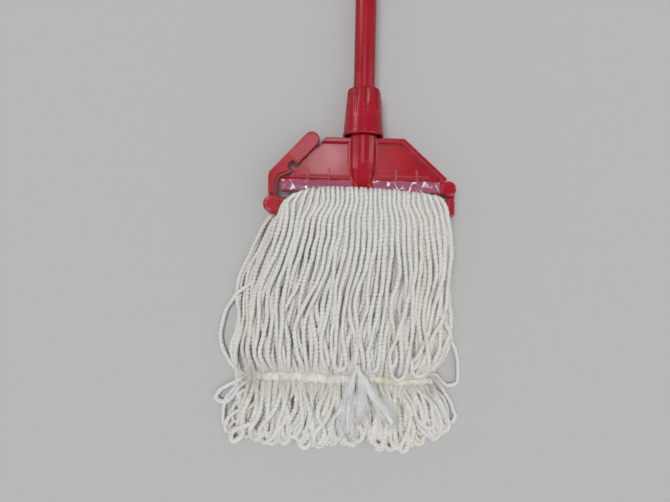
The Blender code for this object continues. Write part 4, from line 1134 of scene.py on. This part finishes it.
tie = {
    "seed": 81,
    "knot": (-0.0013, 0.0195),
    # each branch: end on the plan, half width there, sideways bow, number of loose threads
    "branches": [(-0.0165, -0.054, 0.0056, -0.0030, 84), (-0.0055, -0.055, 0.0042, -0.0045, 60),
                 (0.0035, -0.034, 0.0066, 0.0035, 92), (0.0366, -0.040, 0.0072, -0.0020, 104)],
    "steps": (0.0, 0.12, 0.35, 0.62, 0.85, 1.0),          # stations of a thread from the knot to its end
    "rise": (0.0030, 0.0032, 0.0030, 0.0026, 0.0020, 0.0014),
    "fray": 1.25,                 # how far the threads leave their branch, in half widths
    "endSpread": (1.0, 0.1),      # share of it in X and Y at the ends
    "frayEnd": 0.006,
    "frayX": 0.0008,
    "frayY": 0.0006,
    "open": 1.25,                 # power by which a branch leaves the knot sideways
    "spanSteps": 4,
    "radius": 0.00024,
    "ring": 4,
    "taper": 0.7,
    "over": (0.0006, 0.0014),     # how far the threads lie over the ribbons
    "tone": (0.2, 0.2),
    # flat branches: half thickness, step from one to the next, half width at the knot, its share at the end
    "ribbon": 0.0003,
    "ribbonRing": 24,
    "stack": 0.0003,
    "neck": 0.0009,
    "wide": 0.22,
    "widePower": 0.9,
    "pleat": (0.0005, 9, 4),      # size of the pleats and their pace across and along
    "cloth": (4, 0.012),          # units of its fibres across, and the length of one along
}
tieLook = {
    "light": (0.895, 0.893, 0.885), "warm": (0.87, 0.868, 0.862), "deep": (0.8, 0.8, 0.8),
    "fineness": 4.0, "bump": 0.5,
}
tieKnot = {
    "turns": 2.6, "stations": 60, "ring": 10,
    "radius": 0.0022, "half": 0.0016, "slip": (0.0006, 1.7), "cord": 0.0009,
}


def flatBranches(routes, half, ring):
    # each ring is a flat oval, level across the route and pleated along it
    step = np.gradient(routes[..., :2], axis=1)
    step /= np.linalg.norm(step, axis=2, keepdims=True) + 1e-12
    across = np.stack([-step[..., 1], step[..., 0], 0 * step[..., 0]], axis=-1)
    angle = ringAngles(ring)
    wide, high = np.cos(angle), np.sin(angle)
    points = routes[:, :, None] + (half[..., None] * wide)[..., None] * across[:, :, None]
    share = np.linspace(0, 1, routes.shape[1])[None, :, None]
    size, paceAcross, paceAlong = tie["pleat"]
    pleat = np.sin(paceAcross * wide + paceAlong * share + np.arange(len(routes))[:, None, None])
    points[..., 2] += tie["ribbon"] * high + size * share * pleat
    fibres, length = tie["cloth"]
    uv = np.stack(np.broadcast_arrays(fibres * wide[None, None], runLengths(routes)[..., None] / length), axis=-1)
    return points, np.zeros(points.shape[:3]), uv


def makeTie(heights, yarnMaterial):
    # flat white branches from the knot over the band, frayed into fine threads that open towards their ends
    draw = np.random.default_rng(tie["seed"])
    kx, ky = tie["knot"]
    s = np.array(tie["steps"])
    threads, flat = [], []
    for ex, ey, spread, sway, count in tie["branches"]:
        # the first line of a branch is its middle, and the others are its loose threads
        share = np.concatenate([[0.0], draw.uniform(-tie["fray"], tie["fray"], count)])[:, None]
        loose = share != 0
        uneven = draw.normal(0, tie["frayEnd"], (count + 1, 1)) * loose * [0, 1]
        end = np.array([ex, ey]) + share * spread * np.array(tie["endSpread"]) + uneven
        px = kx + (end[:, :1] - kx) * s ** tie["open"] + sway * np.sin(np.pi * s)
        px = px + draw.normal(0, tie["frayX"], (count + 1, len(s))) * loose
        py = ky + (end[:, 1:] - ky) * s + draw.normal(0, tie["frayY"], (count + 1, len(s))) * loose
        lines = np.stack([px, py], axis=2)
        threads.append(lines[1:])
        flat.append(lines[:1])
    threads, flat = np.concatenate(threads), np.concatenate(flat)

    def overPile(lines, extra):
        z = heightAt(heights, lines[..., 0], lines[..., 1]) + np.array(tie["rise"]) + extra
        return smoothRoutes(np.concatenate([lines, z[..., None]], axis=2), tie["spanSteps"])

    ribbons = overPile(flat, np.arange(len(flat))[:, None] * tie["stack"])
    most = tie["wide"] * np.array([branch[2] for branch in tie["branches"]])[:, None]
    half = tie["neck"] + (most - tie["neck"]) * np.linspace(0, 1, ribbons.shape[1])[None] ** tie["widePower"]
    routes = overPile(threads, draw.uniform(*tie["over"], (len(threads), 1)))
    taper = np.linspace(1.0, tie["taper"], routes.shape[1])[None] * np.full((len(routes), 1), tie["radius"])
    tone = np.clip(draw.normal(*tie["tone"], len(routes)), 0, 1)
    ribbonPart = (*flatBranches(ribbons, half, tie["ribbonRing"]), np.full(len(flat), tie["tone"][0]))
    threadPart = (*plainTubes(routes, taper, tie["ring"]), tone)
    obj = joinTubes("tieTuft", [ribbonPart, threadPart])
    finishPiece(obj, cottonMaterial("tuftThread", **tieLook), "gate", "tuft_thread", "tie_tuft")

    # the knot is a short coil about the line of the band's length
    turns = np.linspace(0, tieKnot["turns"] * fullTurn, tieKnot["stations"])
    radius, (slip, pace) = tieKnot["radius"], tieKnot["slip"]
    top = float(heightAt(heights, np.array([kx]), np.array([ky]))[0]) + radius
    y = ky + tieKnot["half"] * (turns / turns[-1] * 2 - 1) + slip * np.sin(turns * pace)
    coil = np.stack([kx + radius * np.cos(turns), y, top + radius * np.sin(turns)], axis=1)
    points, groove, uv = plainTubes(coil[None], np.full((1, len(turns)), tieKnot["cord"]), tieKnot["ring"])
    obj = joinTubes("tieKnot", [(points, groove + 1, uv, np.array([1.0]))])
    finishPiece(obj, yarnMaterial, "gate", "cotton_yarn")
    print("tie:", len(flat), "branches and", len(routes), "threads")


# Core of the mop head in the jaw

headBand = {
    "high": 0.0028,
    "deep": 0.0030,
    "power": 0.6,                 # of the superellipse
    "stitch": 0.0042,
    "pull": (0.05, 8),            # depth and sharpness of the stitches
    "inset": (0.013, 0.002),      # how far in from the ends of the solid, left and right
    "grid": (240, 32),
    "tone": 0.4,
}


def makeHeadBand(material):
    # rounded strip: a superellipse carried along X, drawn in a little at each stitch
    (left, right), (stations, ring) = headBand["inset"], headBand["grid"]
    x = np.linspace(bandLow.x + left, bandHigh.x - right, stations)
    a = np.linspace(0, fullTurn, ring, endpoint=False)
    depth, power = headBand["pull"]
    pull = 1 - depth * np.cos(fullTurn * x / headBand["stitch"]) ** power

    def swollen(wave):
        return pull[:, None] * (np.sign(wave) * np.abs(wave) ** headBand["power"])[None]

    y = jawY + headBand["high"] * swollen(np.cos(a))
    z = midZ + headBand["deep"] * swollen(np.sin(a))
    points = np.stack([np.broadcast_to(x[:, None], y.shape), y, z], axis=-1)
    uv = np.stack(np.broadcast_arrays(a[None] / fullTurn, x[:, None] / sewnBand["cloth"]), axis=-1)
    obj = joinTubes("headBand", [(points[None], np.zeros((1, *y.shape)), uv[None], np.array([headBand["tone"]]))])
    finishPiece(obj, material, "gate", "band_cloth", "head_band")
    print("head band:", len(x), "stations")


# Clear film along the jaw

film = {
    # each strip: ends, phase of its waves, how close its creases are and how far they show everywhere
    "strips": {"left": (-0.0838, -0.0108, 0.0, 1.0, 0.2), "right": (0.0108, 0.0798, 3.7, 1.35, 0.75)},
    "low": 0.1998,
    "high": 0.2114,
    "lift": 0.0004,
    "crinkle": 0.0013,
    "lipY": (0.1995, 0.2010, 0.2049, 0.2141),        # the lip's front face under the film
    "lipZ": (0.0074, 0.0085, 0.0082, 0.0045),
    "grid": (230, 34),
    "edge": (0.0005, 260),        # waves of its long edges: size and pace
    "bend": (0.35, 110, 0.2, 290),
    # each set of creases: length, slant and share of the bend
    "first": (0.0125, 0.55, 1.0),
    "second": (0.0170, -0.75, -0.8),
    "third": (0.031, 1.6, 1.0),
    "foldShare": (0.6, 0.4),
    "patch": (61, 137, 1.4),      # paces of the patches with creases, and their level
    "sharp": 5,
    "meeting": 0.9,
    "glint": (0.6, 1.4, 330, 3, 4.5, 150),    # mean, size and paces of what breaks up the painted glints along the creases
    "glintRange": (0.1, 1.5),
    # the tint of the film where it is clear paints the pale sheen that the film reflects over the red lip
    "clear": (0.52, 0.27, 0.47),
    "milkyAndGlint": (0.93, 0.92, 0.95),
    "alpha": (0.30, 0.95, 0.26, 0.96),        # range of the crease value, and the alpha that it becomes
    "cloud": {"Scale": 240.0, "Detail": 3.0},
    "haze": (0.4, 0.7, 0.0, 0.16),            # the same for the cloud
    "plain": {"Roughness": 0.10, "Specular_IOR_Level": 1.0, "Coat_Weight": 1.0, "Coat_Roughness": 0.05},
}


def triangle(x):
    # falls from 1 to 0 and rises again in every unit
    return np.abs((x % 1) - 0.5) * 2


def filmMaterial():
    # nearly clear, with painted glints along the creases, milky white and less clear there
    material, tree, shader = blankMaterial("clearFilm")
    creaseGlint = attribute(tree, "creaseGlint")
    place = addNode(tree, "ShaderNodeTexCoord").outputs["Object"]
    cloud = addNode(tree, "ShaderNodeTexNoise", None, Vector=place, **film["cloud"]).outputs[0]
    alpha = maths(tree, "ADD", rescale(tree, creaseGlint, *film["alpha"]), rescale(tree, cloud, *film["haze"]))
    tint = mixColours(tree, creaseGlint, (*film["clear"], 1), (*film["milkyAndGlint"], 1))
    fill(tree, shader, Base_Color=tint, Alpha=alpha, **film["plain"])
    return material


def makeFilm():
    # follows the lip's slope; leaning sets of triangle waves cross to give sharp creases, and slower waves
    # choose the patches where they stand and the spots where they carry the painted glints
    material = filmMaterial()
    u, v = np.meshgrid(*(np.linspace(0, 1, count) for count in film["grid"]), indexing="ij")
    for label, (x0, x1, phase, close, least) in film["strips"].items():
        x = x0 + (x1 - x0) * u
        size, pace = film["edge"]
        y = film["low"] + (film["high"] - film["low"]) * v + size * np.sin(pace * x + phase) * (2 * v - 1)
        slow, slowPace, quick, quickPace = film["bend"]
        bend = slow * np.sin(slowPace * x + phase) + quick * np.sin(quickPace * x + 2 * phase + 2 * v)
        (length, slant, share), (length2, slant2, share2) = film["first"], film["second"]
        first = triangle(close * x / length + slant * v + share * bend + phase)
        second = triangle(close * x / length2 + slant2 * v + share2 * bend + 2 * phase)
        length, slant, share = film["third"]
        third = triangle(slant * v + x / length + share * bend)
        slowPace, quickPace, level = film["patch"]
        patch = np.clip(np.sin(slowPace * x + phase) + np.sin(quickPace * x + 2 * phase), 0, level) / level
        patch = least + (1 - least) * patch
        ridge = np.maximum(first, second)
        fold = (ridge * film["foldShare"][0] + film["foldShare"][1] * third) * patch
        z = midZ + np.interp(y, film["lipY"], film["lipZ"]) + film["lift"] + film["crinkle"] * fold
        # the milky white along the creases is a painted glint
        creaseGlint = np.clip(ridge ** film["sharp"] + film["meeting"] * (first * second) ** 2, 0, 1) * patch
        mean, size, paceX, paceV, turnV, turnX = film["glint"]
        spot = mean + size * np.sin(paceX * x + paceV * v + phase) * np.cos(turnV * v - turnX * x)
        creaseGlint = np.clip(creaseGlint * np.clip(spot, *film["glintRange"]), 0, 1)
        points = np.stack([x, y, z], axis=-1)
        obj = buildMesh(f"{label}Film", points, gridFaces(*u.shape)[:, ::-1], values={"creaseGlint": creaseGlint})
        finishPiece(obj, material, "clamp", "clear_film", "jaw_film")
    print("film:", len(film["strips"]), "strips")


# Collar nut and handle, finer than their solids and of the same size

collarNut = {
    "low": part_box("lock_nut")[0].y,
    "high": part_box("lock_nut")[1].y,
    "rim": 0.0214,
    "top": 0.0174,
    "bore": 0.0115,
    "thread": 0.0153,
    # the profile: a radius and what is added to it, an end and what is added to it
    "inside": [("bore", 0, "high", 0), ("bore", 0, "high", -0.0043), ("thread", 0, "high", -0.0043),
               ("thread", 0, "low", 0.016), ("rim", -0.0026, "low", 0.014), ("rim", -0.0020, "low", 0)],
    "lip": [("rim", -0.0004, "low", 0), ("rim", 0, "low", 0.0006), ("rim", 0, "low", 0.0034),
            ("rim", -0.0005, "low", 0.0040)],
    "wall": [("rim", -0.0005, "low", 0.0044), ("top", 0, "high", -0.0036)],
    "crown": [("top", -0.0005, "high", -0.0016), ("top", -0.0012, "high", -0.0006), ("top", -0.0022, "high", 0)],
    "wallSteps": 40,
    "sides": 360,
    "round": (0.0003, 3),         # reach and steps of the rounded corners inside
    "flutes": 10,
    "fluteDepth": 0.0019,
    "fluteLength": 0.034,
    "fluteWidth": (0.05, 0.19),
    "fluteHollow": 0.7,
    "fluteRise": 1.4,
    "fluteSkin": 0.0002,          # only what lies this far outside the thread is fluted
    "turn": 0.18,
}
handle = {"wall": 0.0011, "sides": 96, "round": (0.0004, 4)}


def turnedPiece(name, profile, sides, dent=None, depth=0.0):
    # profile (radius, y) carried round the handle's axis; dent(angle, y, radius) from 0 to 1 takes off the depth,
    # and is kept as the groove value, which the moulded finish paints as shade in the dents
    r, y = np.array(profile).T
    a = np.linspace(0, fullTurn, sides, endpoint=False)
    groove = dent(a[None], y[:, None], r[:, None]) if dent else 0 * (a[None] + r[:, None])
    radius = r[:, None] - depth * groove
    points = np.stack([radius * np.sin(a), y[:, None] + 0 * radius, midZ + radius * np.cos(a)], axis=-1)
    quads = gridFaces(len(r), sides, wrapRows=True, wrapColumns=True)
    return buildMesh(name, points, quads, values={"groove": groove})


def rounded(profile, reach, steps):
    # each corner of a closed profile becomes a parabola that starts and ends within reach of it,
    # and no further along a side than 0.4 of its length
    p = np.array(profile)

    def towards(other):
        pace = np.minimum(reach / (np.linalg.norm(other - p, axis=1, keepdims=True) + 1e-9), 0.4)
        return p + (other - p) * pace

    a, b = towards(np.roll(p, 1, axis=0)), towards(np.roll(p, -1, axis=0))
    t = np.linspace(0, 1, steps)[None, :, None]
    arc = (1 - t) ** 2 * a[:, None] + 2 * t * (1 - t) * p[:, None] + t ** 2 * b[:, None]
    return arc.reshape(-1, 2)


def makeNut(material):
    # bore, thread and flared skirt inside, a lip at the rim, a straight wall and a rounded crown
    n = collarNut

    def corners(label):
        return np.array([(n[radius] + r, n[end] + y) for radius, r, end, y in n[label]])

    def flutes(angle, y, radius):
        # a groove at each flute, widest and deepest at the top and running out below
        phase = (angle / fullTurn * n["flutes"] - n["turn"] + 0.5) % 1 - 0.5
        run = np.clip((y - (n["high"] - n["fluteLength"])) / n["fluteLength"], 0, 1)
        width = n["fluteWidth"][0] + (n["fluteWidth"][1] - n["fluteWidth"][0]) * run
        shape = np.clip(1 - np.abs(phase / n["flutes"] * fullTurn / width), 0, 1) ** n["fluteHollow"]
        return shape * smoothStep(n["fluteRise"] * run) * (radius > n["thread"] + n["fluteSkin"])

    foot, head = corners("wall")
    wall = foot + (head - foot) * np.linspace(0, 1, n["wallSteps"])[:, None]
    profile = np.vstack([rounded(corners("inside"), *n["round"]), corners("lip"), wall, corners("crown")])
    obj = turnedPiece("collarNut", profile[::-1], n["sides"], flutes, n["fluteDepth"])
    finishPiece(obj, material, "collar_nut", "clamp_plastic", "lock_nut")


def makeHandle(material):
    # a straight tube with rounded ends
    low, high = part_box("handle_tube")
    outer = (high.x - low.x) / 2
    inner = outer - handle["wall"]
    profile = rounded([(inner, low.y), (outer, low.y), (outer, high.y), (inner, high.y)], *handle["round"])
    obj = turnedPiece("handleTube", profile[::-1], handle["sides"])
    finishPiece(obj, material, "handle", "handle_paint", "handle_tube")


# Finishes of the solid pieces

# rubbed is the lighter colour of the rub streaks, and of the painted highlight and wear along the edges
red = {"deep": (0.318, 0.0032, 0.011), "light": (0.39, 0.0055, 0.0175), "rubbed": (0.62, 0.17, 0.20)}
white = {"deep": (0.78, 0.78, 0.76), "light": (0.86, 0.86, 0.84), "rubbed": (0.8, 0.78, 0.7)}
steel = {"deep": (0.50, 0.50, 0.51), "light": (0.60, 0.60, 0.61), "rubbed": (0.7, 0.7, 0.7)}
finishes = {
    "redPlastic": dict(red, rub=0.08, gloss=0.23, bump=0.2, edge=0.0014, coat=0.10, shine=0.25, edgeWearAndSheen=0.8),
    "handleCoat": dict(red, rub=0.12, gloss=0.30, bump=0.12, edge=0.0012, shine=0.26),
    "capPlastic": dict(red, rub=0.3, gloss=0.45, bump=0.3, edge=0.0007),
    "ringPlastic": dict(white, rub=0.2, gloss=0.45, bump=0.2, edge=0.0005),
    "pinSteel": dict(steel, rub=0.4, gloss=0.30, bump=0.2, edge=0.0003),
}
dressed = {
    "clamp_body": "redPlastic", "gate_bar": "redPlastic", "release_lever": "redPlastic",
    "hanger_cap": "capPlastic", "thrust_ring": "ringPlastic", "hinge_pin": "pinSteel", "lever_pin": "pinSteel",
}


def dressNodes():
    materials = {name: mouldedMaterial(name, **look) for name, look in finishes.items()}
    materials["pinSteel"].node_tree.nodes["Principled BSDF"].inputs["Metallic"].default_value = 1.0
    for name, finish in dressed.items():
        nodes[name].data.materials[0] = materials[finish]
    makeNut(materials["redPlastic"])
    makeHandle(materials["handleCoat"])
    print("dressed", len(dressed), "solid pieces, and made the nut and the handle")


makePicture()
makeFloor()
yarnMaterial, underBand = makeYarn()
bandCloth = bandMaterial()
makeBand("tailBandFront", "tail_band_front", sewnBand["front"], bandCloth, underBand)
makeBand("tailBandBack", "tail_band_back", sewnBand["back"], bandCloth)
makeFluff(underBand, bandCloth)
makeTie(smoothPile(), yarnMaterial)
makeHeadBand(bandCloth)
makeFilm()
dressNodes()
